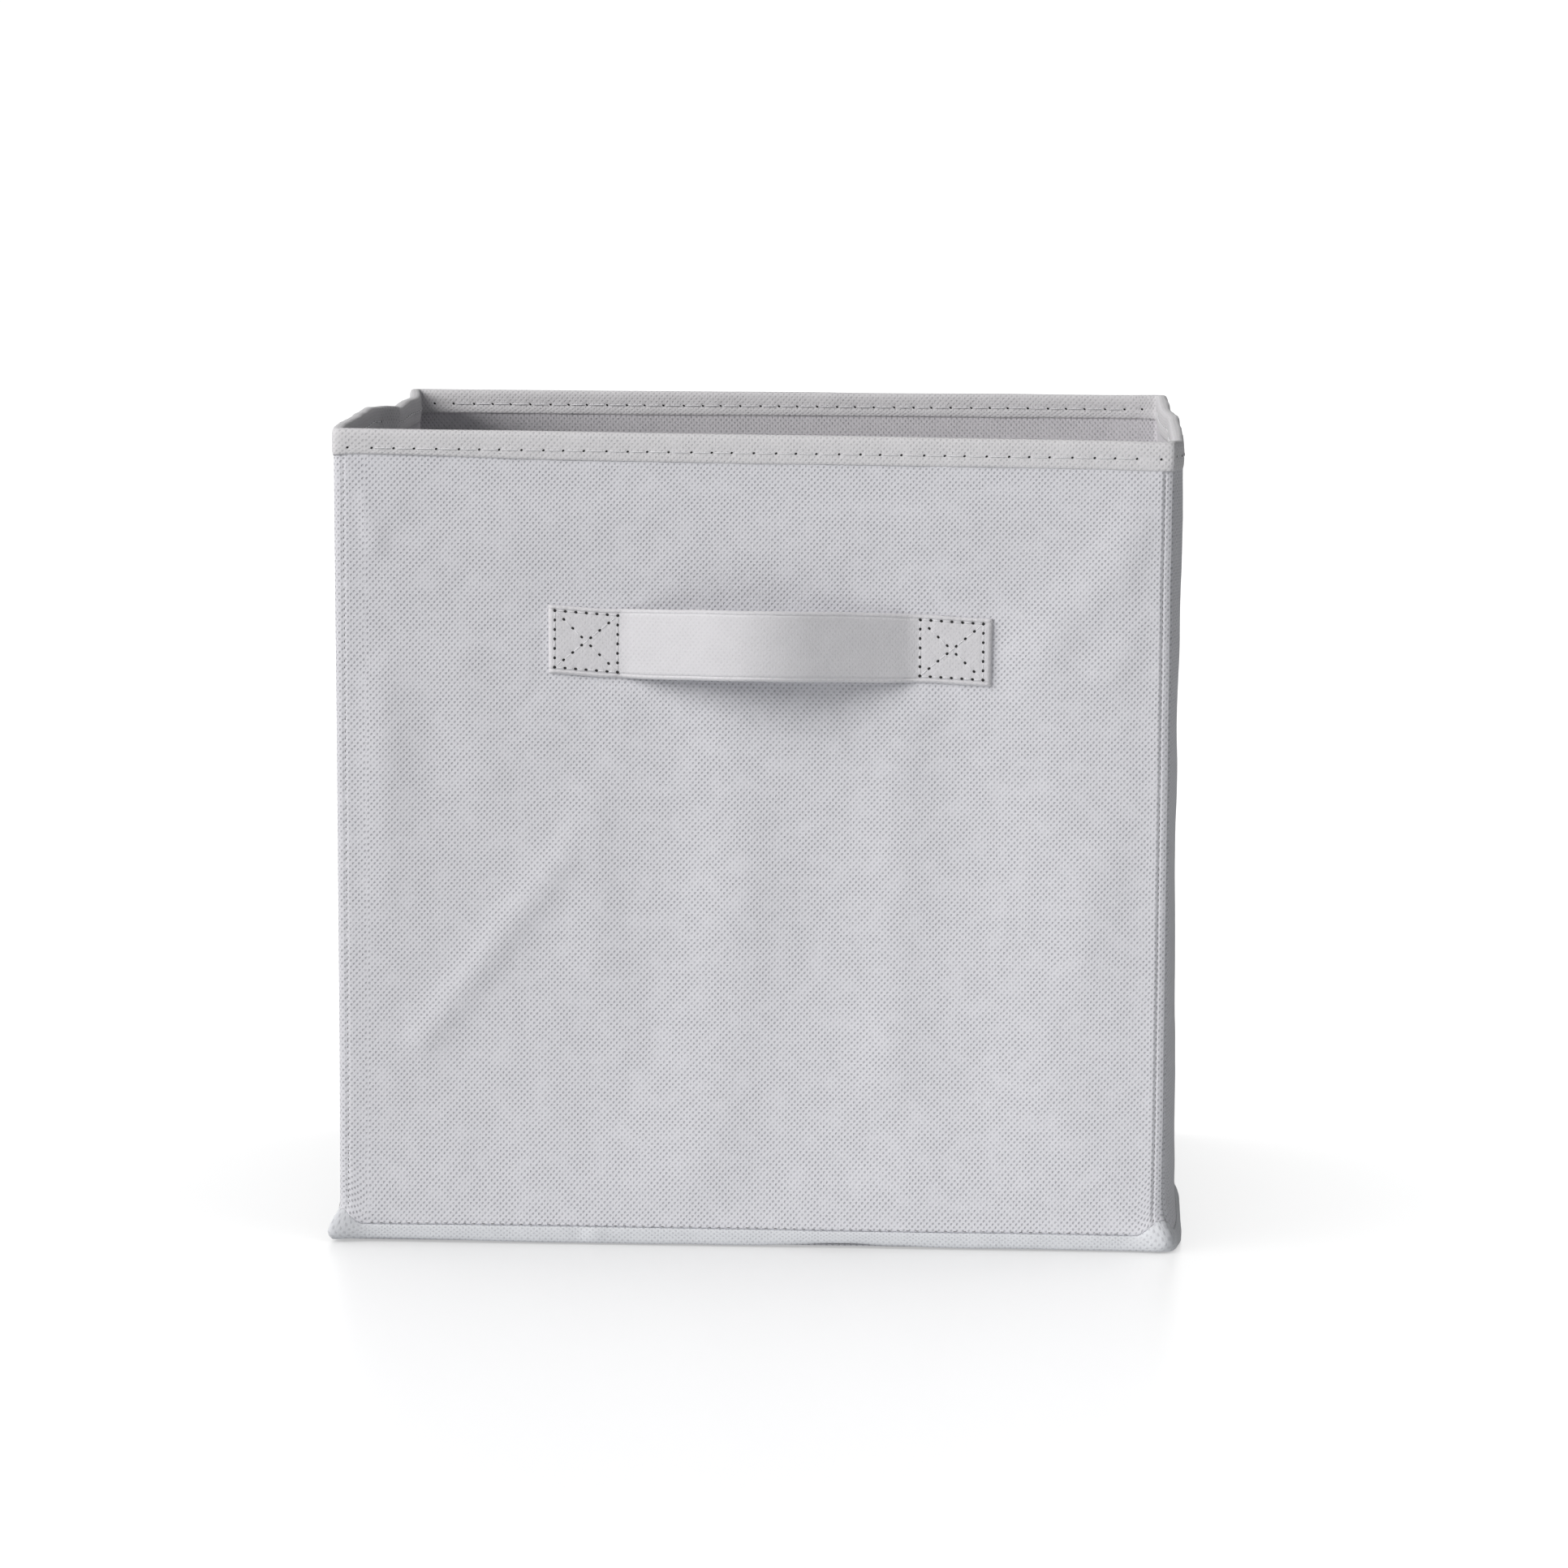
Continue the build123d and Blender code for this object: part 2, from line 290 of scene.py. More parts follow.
def wall_points(wall, u, w, z):
    """World points, in mm, of wall coordinates: u along, w outward from the outer face, z up."""
    u, w, z = np.broadcast_arrays(np.asarray(u, float), np.asarray(w, float), np.asarray(z, float))
    d = HALF + w + bow(wall, u, z)
    x, y = u * E[wall][0] + d * N[wall][0], u * E[wall][1] + d * N[wall][1]
    fx, fy = flare(x, y, z)
    return np.stack([x + fx + lean(x, y, z), y + fy, z + rise(wall, u, z)], -1)


def _catmull(pts, n):
    pts = np.array(pts, float)
    p = np.vstack([2 * pts[0] - pts[1], pts, 2 * pts[-1] - pts[-2]])
    d = np.r_[0, np.cumsum(np.linalg.norm(np.diff(pts, axis=0), axis=1))]
    out = []
    for s in np.linspace(0, d[-1], n):
        i = min(np.searchsorted(d, s, side="right") - 1, len(pts) - 2)
        t = (s - d[i]) / (d[i + 1] - d[i])
        a, b, c, e = p[i], p[i + 1], p[i + 2], p[i + 3]
        out.append(0.5 * (2 * b + (c - a) * t + (2 * a - 5 * b + 4 * c - e) * t * t + (3 * b - a - 3 * c + e) * t ** 3))
    return np.array(out), np.linspace(0, d[-1], n)


K_ST = 41     # stations over a corner


def corner_path(k, kind="shell"):
    """Outer and inner path round corner k: p is u - 140 on the first wall, w outward of it."""
    plain = [(-STRIP, 0.0), (-7.0, 0.0), (-4.6, 0.0), (-3.95, -0.03), (-3.55, -0.14), (-3.1, -0.34), (-2.65, -0.28), (-2.1, -0.26), (-1.5, -0.38), (-0.95, -0.60)]
    other = [(b, a) for a, b in reversed(plain)]
    ridge = (-0.62, -0.62)
    if kind == "binding":
        plain = [(-STRIP, 0.0), (-7.0, 0.0), (-4.6, 0.0), (-3.2, -0.02), (-2.1, -0.10), (-1.2, -0.28)]
        other = [(b, a) for a, b in reversed(plain)]
        ridge = (-0.58, -0.58)
    elif k == 0:
        # the front right corner falls back from the board's edge to its ridge, and dips again behind it
        plain = [(-STRIP, 0.0), (-7.0, 0.0), (-4.6, 0.0), (-3.85, -0.05), (-3.45, -0.32), (-3.1, -0.72), (-2.75, -0.52), (-2.3, -0.55), (-1.6, -0.8), (-0.9, -1.08)]
        ridge = (-0.42, -1.34)
        other = [(-0.52, -1.8), (-0.82, -2.35), (-0.72, -2.85), (-0.25, -3.5), (-0.03, -4.3), (0.0, -5.5), (0.0, -7.6), (0.0, -STRIP)]
    half_i = [(-STRIP, -3.0), (-7.0, -3.0), (-5.0, -3.0), (-4.0, -3.05), (-3.5, -3.2)]
    inner = half_i + [(-3.3, -3.3)] + [(b, a) for a, b in reversed(half_i)]
    first, _ = _catmull(plain + [ridge], (K_ST + 1) // 2)
    second, _ = _catmull([ridge] + other, (K_ST + 1) // 2)
    po = np.vstack([first, second[1:]])
    pi, _ = _catmull(inner, K_ST)
    so = np.r_[0, np.cumsum(np.linalg.norm(np.diff(po, axis=0), axis=1))]
    return po, pi, so


PATHS = [corner_path(k) for k in range(4)]
PATHS_B = [corner_path(k, "binding") for k in range(4)]


def at_station(table, st):
    n = np.arange(K_ST)
    return np.interp(st, n, table[:, 0]), np.interp(st, n, table[:, 1])


def corner_points(k, st, w, z, paths=None):
    """World points at corner k, between WALLS[k] and the next one: st are station numbers, w as on a wall."""
    A, B = WALLS[k], WALLS[(k + 1) % 4]
    st, w, z = np.broadcast_arrays(np.asarray(st, float), np.asarray(w, float), np.asarray(z, float))
    (op, ow), (ip, iw) = at_station((paths or PATHS)[k][0], st), at_station((paths or PATHS)[k][1], st)
    if paths is None:
        # the pinched edge fades out on the hem's soft corner
        f = smooth(5.0, 13.0, z)
        bp, bw = at_station(PATHS_B[k][0], st)
        op, ow = bp + f * (op - bp), bw + f * (ow - bw)
    t = (w + 3.0) / 3.0
    p, ww = ip + t * (op - ip), iw + t * (ow - iw)
    first = st <= (K_ST - 1) // 2
    ba = bow(A, np.minimum(HALF + p, HALF), z)
    bb = bow(B, np.maximum(-HALF - ww, -HALF), z)
    ea, na, nb = E[A], N[A], N[B]
    x = (HALF + p) * ea[0] + (HALF + ww) * na[0] + np.where(first, ba * na[0], bb * nb[0])
    y = (HALF + p) * ea[1] + (HALF + ww) * na[1] + np.where(first, ba * na[1], bb * nb[1])
    fx, fy = flare(x, y, z)
    lift = np.where(first, rise(A, np.minimum(HALF + p, HALF), z), rise(B, np.maximum(-HALF - ww, -HALF), z))
    return np.stack([x + fx + lean(x, y, z), y + fy, z + lift], -1)


# ---------------------------------------------------------------- mesh making
class Buf:
    """Collects vertices, faces, materials and cloth coordinates of one piece."""

    def __init__(self):
        self.v, self.f, self.m, self.uv, self.sharp, self.n = [], [], [], [], [], 0

    def add(self, verts, faces, uv=None, mat=0, sharp=None):
        verts = np.asarray(verts, float).reshape(-1, 3)
        self.v.append(verts)
        self.f.extend([tuple(int(i) + self.n for i in f) for f in faces])
        self.m.extend([mat] * len(faces))
        self.uv.append(np.zeros((len(verts), 2)) if uv is None else np.asarray(uv, float).reshape(-1, 2))
        self.sharp.append(np.zeros(len(verts), int) if sharp is None else np.asarray(sharp, int))
        self.n += len(verts)

    def sheet(self, outer, inner, uv, mat=0, flip=False):
        """A closed thin sheet between two grids of points."""
        ni, nj = outer.shape[:2]
        idx = np.arange(ni * nj).reshape(ni, nj)
        a, b, c, d = idx[:-1, :-1].ravel(), idx[1:, :-1].ravel(), idx[1:, 1:].ravel(), idx[:-1, 1:].ravel()
        q = np.stack([a, b, c, d], 1)
        off = ni * nj
        ring = np.r_[idx[:, 0], idx[-1, 1:], idx[-2::-1, -1], idx[0, -2:0:-1]]
        nxt = np.roll(ring, -1)
        side = np.stack([ring, ring + off, nxt + off, nxt], 1)
        faces = np.vstack([q, q[:, ::-1] + off, side])
        if flip:
            faces = faces[:, ::-1]
        s = np.zeros(2 * off, int)
        s[ring] = 1
        s[ring + off] = 2
        self.add(np.vstack([outer.reshape(-1, 3), inner.reshape(-1, 3)]), faces.tolist(),
                 np.vstack([uv.reshape(-1, 2)] * 2), mat, s)

    def loft(self, rings, uv, mat=0, flip=False):
        """Closed section loops, one per station, with capped ends: rings is (stations, section, 3)."""
        ni, nj = rings.shape[:2]
        idx = np.arange(ni * nj).reshape(ni, nj)
        nxt = np.roll(idx, -1, axis=1)
        q = np.stack([idx[:-1].ravel(), idx[1:].ravel(), nxt[1:].ravel(), nxt[:-1].ravel()], 1)
        faces = q.tolist()
        # caps as strips across the thin section
        h = nj // 2
        for r, rev in ((0, False), (ni - 1, True)):
            base = idx[r]
            for j in range(nj // 2 - 1 + (nj % 2)):
                a, b = base[j], base[(j + 1)]
                c, d = base[nj - 2 - j], base[nj - 1 - j]
                quad = [a, b, c, d] if c != b else [a, b, d]
                quad = [x for n_, x in enumerate(quad) if x not in quad[:n_]]
                if len(quad) > 2:
                    faces.append(quad[::-1] if rev else quad)
        if flip:
            faces = [f[::-1] for f in faces]
        s = np.zeros(ni * nj, int)
        s[idx[0]] = 1
        s[idx[-1]] = 2
        self.add(rings.reshape(-1, 3), faces, uv, mat, s)

    def build(self, name, mats):
        me = bpy.data.meshes.new(name)
        v = np.vstack(self.v) * MM
        me.from_pydata(v.tolist(), [], self.f)
        me.update()
        me.polygons.foreach_set("material_index", np.array(self.m, np.int32))
        me.polygons.foreach_set("use_smooth", np.ones(len(me.polygons), bool))
        layer = me.uv_layers.new(name="cloth")
        li = np.zeros(len(me.loops), np.int32)
        me.loops.foreach_get("vertex_index", li)
        layer.data.foreach_set("uv", (np.vstack(self.uv)[li] * MM).astype(np.float32).ravel())
        flags = np.concatenate(self.sharp)
        ev = np.zeros(len(me.edges) * 2, np.int32)
        me.edges.foreach_get("vertices", ev)
        ev = ev.reshape(-1, 2)
        sharp = (flags[ev[:, 0]] > 0) & (flags[ev[:, 0]] == flags[ev[:, 1]])
        at = me.attributes.get("sharp_edge") or me.attributes.new("sharp_edge", "BOOLEAN", "EDGE")
        at.data.foreach_set("value", sharp)
        for m in mats:
            me.materials.append(m)
        me.validate()
        me.update()
        ob = bpy.data.objects.new(name, me)
        scene.collection.objects.link(ob)
        return ob


# ---------------------------------------------------------------- materials
def srgb(r, g, b):
    def lin(c):
        c = c / 255.0
        return c / 12.92 if c <= 0.04045 else ((c + 0.055) / 1.055) ** 2.4
    return (lin(r), lin(g), lin(b), 1.0)


class Nodes:
    def __init__(self, name):
        self.mat = bpy.data.materials.new(name)
        self.mat.use_nodes = True
        self.nt = self.mat.node_tree
        self.bsdf = self.nt.nodes["Principled BSDF"]

    def node(self, kind, **kw):
        n = self.nt.nodes.new(kind)
        for k, v in kw.items():
            setattr(n, k, v)
        return n

    def link(self, a, b):
        self.nt.links.new(a, b)

    def math(self, op, a, b=None, c=None, clamp=False):
        n = self.node("ShaderNodeMath", operation=op, use_clamp=clamp)
        for i, x in enumerate((a, b, c)):
            if x is None:
                continue
            if isinstance(x, (int, float)):
                n.inputs[i].default_value = x
            else:
                self.link(x, n.inputs[i])
        return n.outputs[0]

    def ramp(self, value, lo, hi, to_lo=0.0, to_hi=1.0, kind="SMOOTHSTEP"):
        n = self.node("ShaderNodeMapRange", interpolation_type=kind)
        self.link(value, n.inputs["Value"])
        n.inputs["From Min"].default_value, n.inputs["From Max"].default_value = lo, hi
        n.inputs["To Min"].default_value, n.inputs["To Max"].default_value = to_lo, to_hi
        return n.outputs["Result"]

    def mix(self, fac, a, b):
        n = self.node("ShaderNodeMix", data_type="RGBA")
        self.link(fac, n.inputs[0])
        for sock, x in ((n.inputs[6], a), (n.inputs[7], b)):
            if isinstance(x, tuple):
                sock.default_value = x
            else:
                self.link(x, sock)
        return n.outputs[2]


def fabric(name, colour, dark, emboss=1.0, fuzz=0.5, roughness=0.82, sheen=0.12, dots=True):
    """Spun-bonded fabric: a lattice of small pressed ovals, painted darker as shade in their hollows, loose fibres
    between them, and faint cloudiness.
    """
    m = Nodes(name)
    uv = m.node("ShaderNodeUVMap", uv_map="cloth")
    sep = m.node("ShaderNodeSeparateXYZ")
    m.link(uv.outputs["UV"], sep.inputs[0])
    x, y = sep.outputs["X"], sep.outputs["Y"]
    # warp the lattice slightly, as pulled cloth does
    wob = m.node("ShaderNodeTexNoise", noise_dimensions="3D")
    wob.inputs["Scale"].default_value = 55.0
    wob.inputs["Detail"].default_value = 1.0
    m.link(uv.outputs["UV"], wob.inputs["Vector"])
    wx = m.math("MULTIPLY_ADD", wob.outputs["Fac"], 0.0009, x)
    wy = m.math("MULTIPLY_ADD", wob.outputs["Fac"], -0.0007, y)
    cx = m.math("COSINE", m.math("MULTIPLY", wx, 2 * math.pi / 0.00201))
    cy = m.math("COSINE", m.math("MULTIPLY", wy, 2 * math.pi / 0.00214))
    # rows of ovals run together a little along one diagonal
    sx = m.math("SINE", m.math("MULTIPLY", wx, 2 * math.pi / 0.00201))
    sy = m.math("SINE", m.math("MULTIPLY", wy, 2 * math.pi / 0.00214))
    prod = m.math("MULTIPLY_ADD", m.math("MULTIPLY", sx, sy), 0.15, m.math("MULTIPLY", cx, cy))
    dot = m.ramp(prod, 0.10, 0.90)
    fib = m.node("ShaderNodeTexNoise", noise_dimensions="3D")
    fib.inputs["Scale"].default_value = 2600.0
    fib.inputs["Detail"].default_value = 4.0
    fib.inputs["Roughness"].default_value = 0.65
    stretch = m.node("ShaderNodeMapping")
    stretch.inputs["Scale"].default_value = (1.0, 0.45, 1.0)
    stretch.inputs["Rotation"].default_value = (0, 0, 0.5)
    m.link(uv.outputs["UV"], stretch.inputs["Vector"])
    m.link(stretch.outputs["Vector"], fib.inputs["Vector"])
    cloud = m.node("ShaderNodeTexNoise", noise_dimensions="3D")
    cloud.inputs["Scale"].default_value = 150.0
    cloud.inputs["Detail"].default_value = 3.0
    m.link(uv.outputs["UV"], cloud.inputs["Vector"])
    f1 = m.ramp(fib.outputs["Fac"], 0.3, 0.7, 0.0, 1.0, "LINEAR")
    f2 = m.ramp(cloud.outputs["Fac"], 0.3, 0.7, 0.0, 1.0, "LINEAR")
    shade = m.math("MULTIPLY_ADD", f1, 0.16 * fuzz, m.math("MULTIPLY", f2, 0.04))
    height = m.math("MULTIPLY", f1, 0.35 * fuzz)
    if dots:
        # the lattice is fainter in places
        keep = m.ramp(cloud.outputs["Fac"], 0.25, 0.6, 0.55, 1.0)
        d = m.math("MULTIPLY", dot, keep)
        # the ovals' darker colour is painted shade in the pressed hollows
        shade = m.math("MULTIPLY_ADD", d, 0.80 * emboss, shade)
        height = m.math("SUBTRACT", height, m.math("MULTIPLY", d, emboss))
    m.link(m.mix(m.math("MINIMUM", shade, 1.0), colour, dark), m.bsdf.inputs["Base Color"])
    rough = m.ramp(f1, 0.0, 1.0, roughness - 0.06, roughness + 0.06, "LINEAR")
    m.link(rough, m.bsdf.inputs["Roughness"])
    bump = m.node("ShaderNodeBump")
    bump.inputs["Strength"].default_value = 0.8
    bump.inputs["Distance"].default_value = 0.00022
    m.link(height, bump.inputs["Height"])
    m.link(bump.outputs["Normal"], m.bsdf.inputs["Normal"])
    m.bsdf.inputs["Sheen Weight"].default_value = sheen
    m.bsdf.inputs["Sheen Roughness"].default_value = 0.5
    m.bsdf.inputs["Specular IOR Level"].default_value = 0.25
    return m.mat


def board_material(name):
    m = Nodes(name)
    geo = m.node("ShaderNodeTexCoord")
    n1 = m.node("ShaderNodeTexNoise")
    n1.inputs["Scale"].default_value = 900.0
    n1.inputs["Detail"].default_value = 6.0
    n2 = m.node("ShaderNodeTexNoise")
    n2.inputs["Scale"].default_value = 60.0
    n2.inputs["Detail"].default_value = 4.0
    for n in (n1, n2):
        m.link(geo.outputs["Object"], n.inputs["Vector"])
    f = m.math("MULTIPLY_ADD", n1.outputs["Fac"], 0.6, m.math("MULTIPLY", n2.outputs["Fac"], 0.4))
    m.link(m.mix(m.ramp(f, 0.3, 0.7), (0.23, 0.215, 0.19, 1), (0.36, 0.34, 0.30, 1)), m.bsdf.inputs["Base Color"])
    bump = m.node("ShaderNodeBump")
    bump.inputs["Strength"].default_value = 0.4
    bump.inputs["Distance"].default_value = 0.0001
    m.link(n1.outputs["Fac"], bump.inputs["Height"])
    m.link(bump.outputs["Normal"], m.bsdf.inputs["Normal"])
    m.bsdf.inputs["Roughness"].default_value = 0.9
    return m.mat


def thread_material(name):
    m = Nodes(name)
    uv = m.node("ShaderNodeUVMap", uv_map="cloth")
    wave = m.node("ShaderNodeTexWave", wave_type="BANDS", bands_direction="DIAGONAL")
    wave.inputs["Scale"].default_value = 900.0
    wave.inputs["Distortion"].default_value = 0.6
    m.link(uv.outputs["UV"], wave.inputs["Vector"])
    m.link(m.mix(wave.outputs["Fac"], srgb(214, 214, 217), srgb(242, 242, 244)), m.bsdf.inputs["Base Color"])
    bump = m.node("ShaderNodeBump")
    bump.inputs["Strength"].default_value = 0.5
    bump.inputs["Distance"].default_value = 0.00005
    m.link(wave.outputs["Fac"], bump.inputs["Height"])
    m.link(bump.outputs["Normal"], m.bsdf.inputs["Normal"])
    m.bsdf.inputs["Roughness"].default_value = 0.6
    return m.mat


# a mottled dark colour, painted in as shade: inside needle holes, and along the dotted lines of seams and edges
def shade_mark_material(name, a, b):
    m = Nodes(name)
    uv = m.node("ShaderNodeUVMap", uv_map="cloth")
    n1 = m.node("ShaderNodeTexNoise")
    n1.inputs["Scale"].default_value = 1500.0
    m.link(uv.outputs["UV"], n1.inputs["Vector"])
    m.link(m.mix(n1.outputs["Fac"], a, b), m.bsdf.inputs["Base Color"])
    m.bsdf.inputs["Roughness"].default_value = 0.95
    return m.mat


SHELL = fabric("shell_cloth", srgb(222, 222, 227), srgb(172, 172, 178), emboss=1.0, fuzz=0.6)
LINING = fabric("lining_cloth", srgb(211, 209, 213), srgb(164, 163, 168), emboss=0.7, fuzz=0.7, roughness=0.86)
HEMM = fabric("hem_cloth", srgb(216, 218, 222), srgb(173, 174, 179), emboss=0.55, fuzz=0.6)
BINDING = fabric("binding_cloth", srgb(222, 221, 223), srgb(172, 171, 175), emboss=0.6, fuzz=0.8)
STRAPM = fabric("strap_cloth", srgb(219, 218, 221), srgb(178, 177, 181), emboss=0.25, fuzz=0.9)
BASEM = fabric("base_cloth", srgb(206, 206, 210), srgb(166, 166, 171), emboss=1.0, fuzz=0.6)
INSERTM = fabric("insert_cloth", srgb(210, 210, 214), srgb(170, 170, 175), emboss=0.9, fuzz=0.6)
TAPEM = fabric("tape_cloth", srgb(205, 205, 208), srgb(160, 160, 165), emboss=0.2, fuzz=1.0, dots=False)
THREAD = thread_material("sewing_thread_twist")
# painted shade, near-black, for the inside of needle holes
HOLE_SHADE = shade_mark_material("needle_hole_painted_shade", (0.030, 0.029, 0.030, 1), (0.070, 0.068, 0.069, 1))
# painted shade for the dotted dark lines along the hem seam and the boards' edges
SEAM_SHADE = shade_mark_material("painted_seam_shade", (0.17, 0.17, 0.175, 1), (0.27, 0.27, 0.275, 1))
# the deepest painted hole shade, for the holes of the rim and the tabs
DEEP_HOLE_SHADE = shade_mark_material("deep_needle_hole_painted_shade", (0.006, 0.006, 0.007, 1), (0.018, 0.018, 0.018, 1))
BOARD = board_material("grey_board_fibre")


# ---------------------------------------------------------------- pieces: bookkeeping
made = []


def finish_piece(ob, bodies, replaces=(), blend=None):
    if blend is None:
        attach(ob, bodies)
    else:
        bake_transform(ob)
    if replaces:
        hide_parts(*replaces)
    made.append(ob)
    return ob


# wall pieces: name, wall, u from, u to, body
PARTS = [
    ("front", "front", -140 + STRIP, 140 - STRIP, "front"),
    ("right_front", "right", -140 + STRIP, -CREASE, "right_front"),
    ("right_rear", "right", CREASE, 140 - STRIP, "right_rear"),
    ("back", "back", -140 + STRIP, 140 - STRIP, "back"),
    ("left_rear", "left", -140 + STRIP, -CREASE, "left_rear"),
    ("left_front", "left", CREASE, 140 - STRIP, "left_front"),
]
# corners in order after each wall: front-right, right-back, back-left, left-front
CORNERS = [
    ("corner_front_right_cloth", ("front", "right_front"), "corner_front_right"),
    ("corner_back_right_cloth", None, "corner_back_right"),
    ("corner_back_left_cloth", ("left_rear", "back"), "corner_back_left"),
    ("corner_front_left_cloth", ("front", "left_front"), "corner_front_left"),
]
CREASES = [("right_crease", "right", ("right_front", "right_rear")), ("left_crease", "left", ("left_front", "left_rear"))]

Z_SHELL = np.r_[np.array([6.95, 7.1, 7.27, 7.5, 7.8, 8.0, 8.15, 8.3, 8.55, 9.1, 10.2, 11.8, 13.7, 16.0]), np.linspace(18.5, 256.0, 96), np.array([258.2, 260.2, 261.8, 263.0, 264.0, 265.0, 266.0])]
Z_LINING = np.r_[np.array([3.2, 4.6, 6.2, 8.2, 10.6, 13.4]), np.linspace(16.5, 256.0, 80), np.array([258.4, 260.6, 262.4, 264.0, 265.8])]


def u_lines(a, b, step):
    n = max(2, int(round((b - a) / step)) + 1)
    return np.linspace(a, b, n)


def perimeter_u(wall, u):
    return u + 280.0 * WALLS.index(wall)


def band_on_wall(section, wall, us, shape):
    """Rings of a section band on a wall. shape(wall, u array, w, z) moves the section's points."""
    w, z = section[:, 0][None, :], section[:, 1][None, :]
    ww, zz = shape(wall, us[:, None], w, z)
    return wall_points(wall, us[:, None] + 0 * ww, ww, zz)


def section_uv(section, along):
    d = np.r_[0, np.cumsum(np.linalg.norm(np.diff(section, axis=0), axis=1))]
    a, b = np.broadcast_arrays(np.asarray(along, float)[:, None], d[None, :])
    return np.stack([a, b + 3.0], -1)


# sections, closed loops of (w, z)
BIND_OUT = np.array([(0.12, 264.35), (0.28, 264.45), (0.40, 264.9), (0.53, 265.8), (0.62, 267.2), (0.62, 267.8), (0.60, 268.3), (0.58, 268.8),
                     (0.60, 269.3), (0.62, 269.9), (0.62, 270.9), (0.58, 272.1), (0.42, 273.1), (0.05, 273.75), (-0.6, 274.0), (-1.5, 274.05),
                     (-2.4, 274.0), (-3.05, 273.75), (-3.42, 273.1), (-3.58, 272.1), (-3.62, 270.9), (-3.62, 269.9), (-3.60, 269.3), (-3.58, 268.8),
                     (-3.60, 268.3), (-3.62, 267.8), (-3.62, 267.2), (-3.62, 265.8), (-3.48, 264.85), (-3.33, 264.42), (-3.14, 264.35)])
BIND_IN = np.array([(-3.12, 264.7), (-3.14, 267.4), (-3.14, 271.0), (-3.0, 272.6), (-2.5, 273.35), (-1.5, 273.55),
                    (-0.5, 273.35), (0.0, 272.6), (0.14, 271.0), (0.14, 267.4), (0.12, 264.7)])
HEM_OUT = np.array([(-0.62, 6.95), (-0.36, 6.93), (-0.08, 6.8), (0.12, 6.5), (0.27, 6.05), (0.42, 5.5), (0.50, 4.2), (0.54, 2.9), (0.53, 1.7), (0.40, 0.75), (-0.1, 0.14), (-1.2, 0.03),
                    (-2.2, 0.10), (-2.85, 0.55), (-3.2, 1.4), (-3.3, 2.8), (-3.3, 4.4), (-3.22, 5.8), (-3.05, 6.5), (-2.8, 6.9)])
HEM_IN = np.array([(-2.75, 6.5), (-2.85, 5.0), (-2.85, 2.8), (-2.75, 1.5), (-2.2, 0.62), (-1.3, 0.48), (-0.55, 0.55), (-0.12, 1.0), (0.05, 2.0), (0.06, 3.8), (-0.06, 5.4), (-0.4, 6.2), (-0.85, 6.5)])
BIND = np.vstack([BIND_OUT, BIND_IN])
HEM = np.vstack([HEM_OUT, HEM_IN])


def hole_us(wall):
    """Where the rim's needle holes are, along a wall."""
    off = {"front": 0.0, "right": 2.1, "back": 3.3, "left": 5.0}[wall]
    k = np.arange(-19, 21)
    us = k * PITCH_ST + off + 0.35 * np.sin(k * 1.7 + off)
    return us[np.abs(us) < 137.0]


def z_row(wall, u):
    """Height of the rim's stitch row."""
    if wall == "front":
        return 267.5 + 0.7 * smooth(-140.0, 140.0, u)
    return Z_ROW + 0.0 * np.asarray(u, float)


def bind_shape(wall, u, w, z):
    k = WALLS.index(wall)
    z = z + 0.28 * vnoise(u / 38.0, 0.5 + k, 61) * smooth(262, 272, z) + 0.22 * vnoise(u / 27.0, 0.5 + k, 62) * (1 - smooth(264, 268, z))
    low_edge = 1 - smooth(264, 268, z)
    if wall == "back":
        z = z + 0.9 * low_edge * (w < -1.5)
    if wall == "right":
        w = w - 0.38 * (w > -1.5) * smooth(-60.0, -125.0, u)
    if wall == "front":
        z = z + 1.2 * low_edge * (w > -1.5) * smooth(-50.0, -135.0, u)
    side = np.where(w > -1.5, 1.0, -1.0)
    puff = 0.10 * vnoise(u / 9.0, z / 7.0 + 11 * k, 63) + 0.10 * vnoise(u / 31.0, 4.5 + k, 64)
    fade = smooth(140.0, 131.0, np.abs(u))
    w = w + side * puff * fade * smooth(0.2, 1.2, np.abs(w + 1.5))
    holes = hole_us(wall)
    d = np.abs(u[..., None] - holes).min(-1)
    hz = np.abs(z - z_row(wall, u))
    w = w - side * (0.18 * np.exp(-(d / 1.1) ** 2) + 0.03) * np.exp(-(hz / 0.9) ** 2) * (np.abs(w + 1.5) > 1.9)
    return w, z


def hem_shape(wall, u, w, z):
    k = WALLS.index(wall)
    h = hem_h(wall, u)
    top = smooth(6.4, 6.9, z) * (w > -1.5) * (1 - open_seam(u))
    w = w * (1 - top) - 0.12 * top
    z = np.where(z > 2.5, 2.5 + (z - 2.5) * (h - 2.5) / (7.0 - 2.5), z)
    lift = 0.45 * np.maximum(0, vnoise(u / 30.0, 0.5 + k, 71)) + 0.22 * np.maximum(0, vnoise(u / 11.0, 0.5 + k, 72))
    if wall == "front":
        lift = lift + 0.95 * np.exp(-((u - 34.0) / 20.0) ** 2) + 0.7 * smooth(-60.0, -125.0, u)
    z = z + lift * smooth(5.0, 0.5, z)
    side = np.where(w > -1.5, 1.0, -1.0)
    puff = 0.22 * vnoise(u / 21.0, 0.5 + k, 73) + 0.12 * vnoise(u / 8.0, z / 6.0 + 3 * k, 74)
    if wall == "front":
        puff = puff + 0.5 * np.exp(-((u + 52.0) / 3.2) ** 2) - 0.35 * np.exp(-((u + 57.5) / 2.2) ** 2)
    body = np.exp(-((z - 3.6) / 3.0) ** 2)
    w = w + side * puff * body * smooth(138.0, 126.0, np.abs(u)) * (np.abs(w + 1.5) > 1.3)
    return w, z


# ---------------------------------------------------------------- shells, linings, bindings and hems on the walls
def shell_w(wall, u, z):
    return wrinkle_out(wall, u, z) + tuck(z, u)


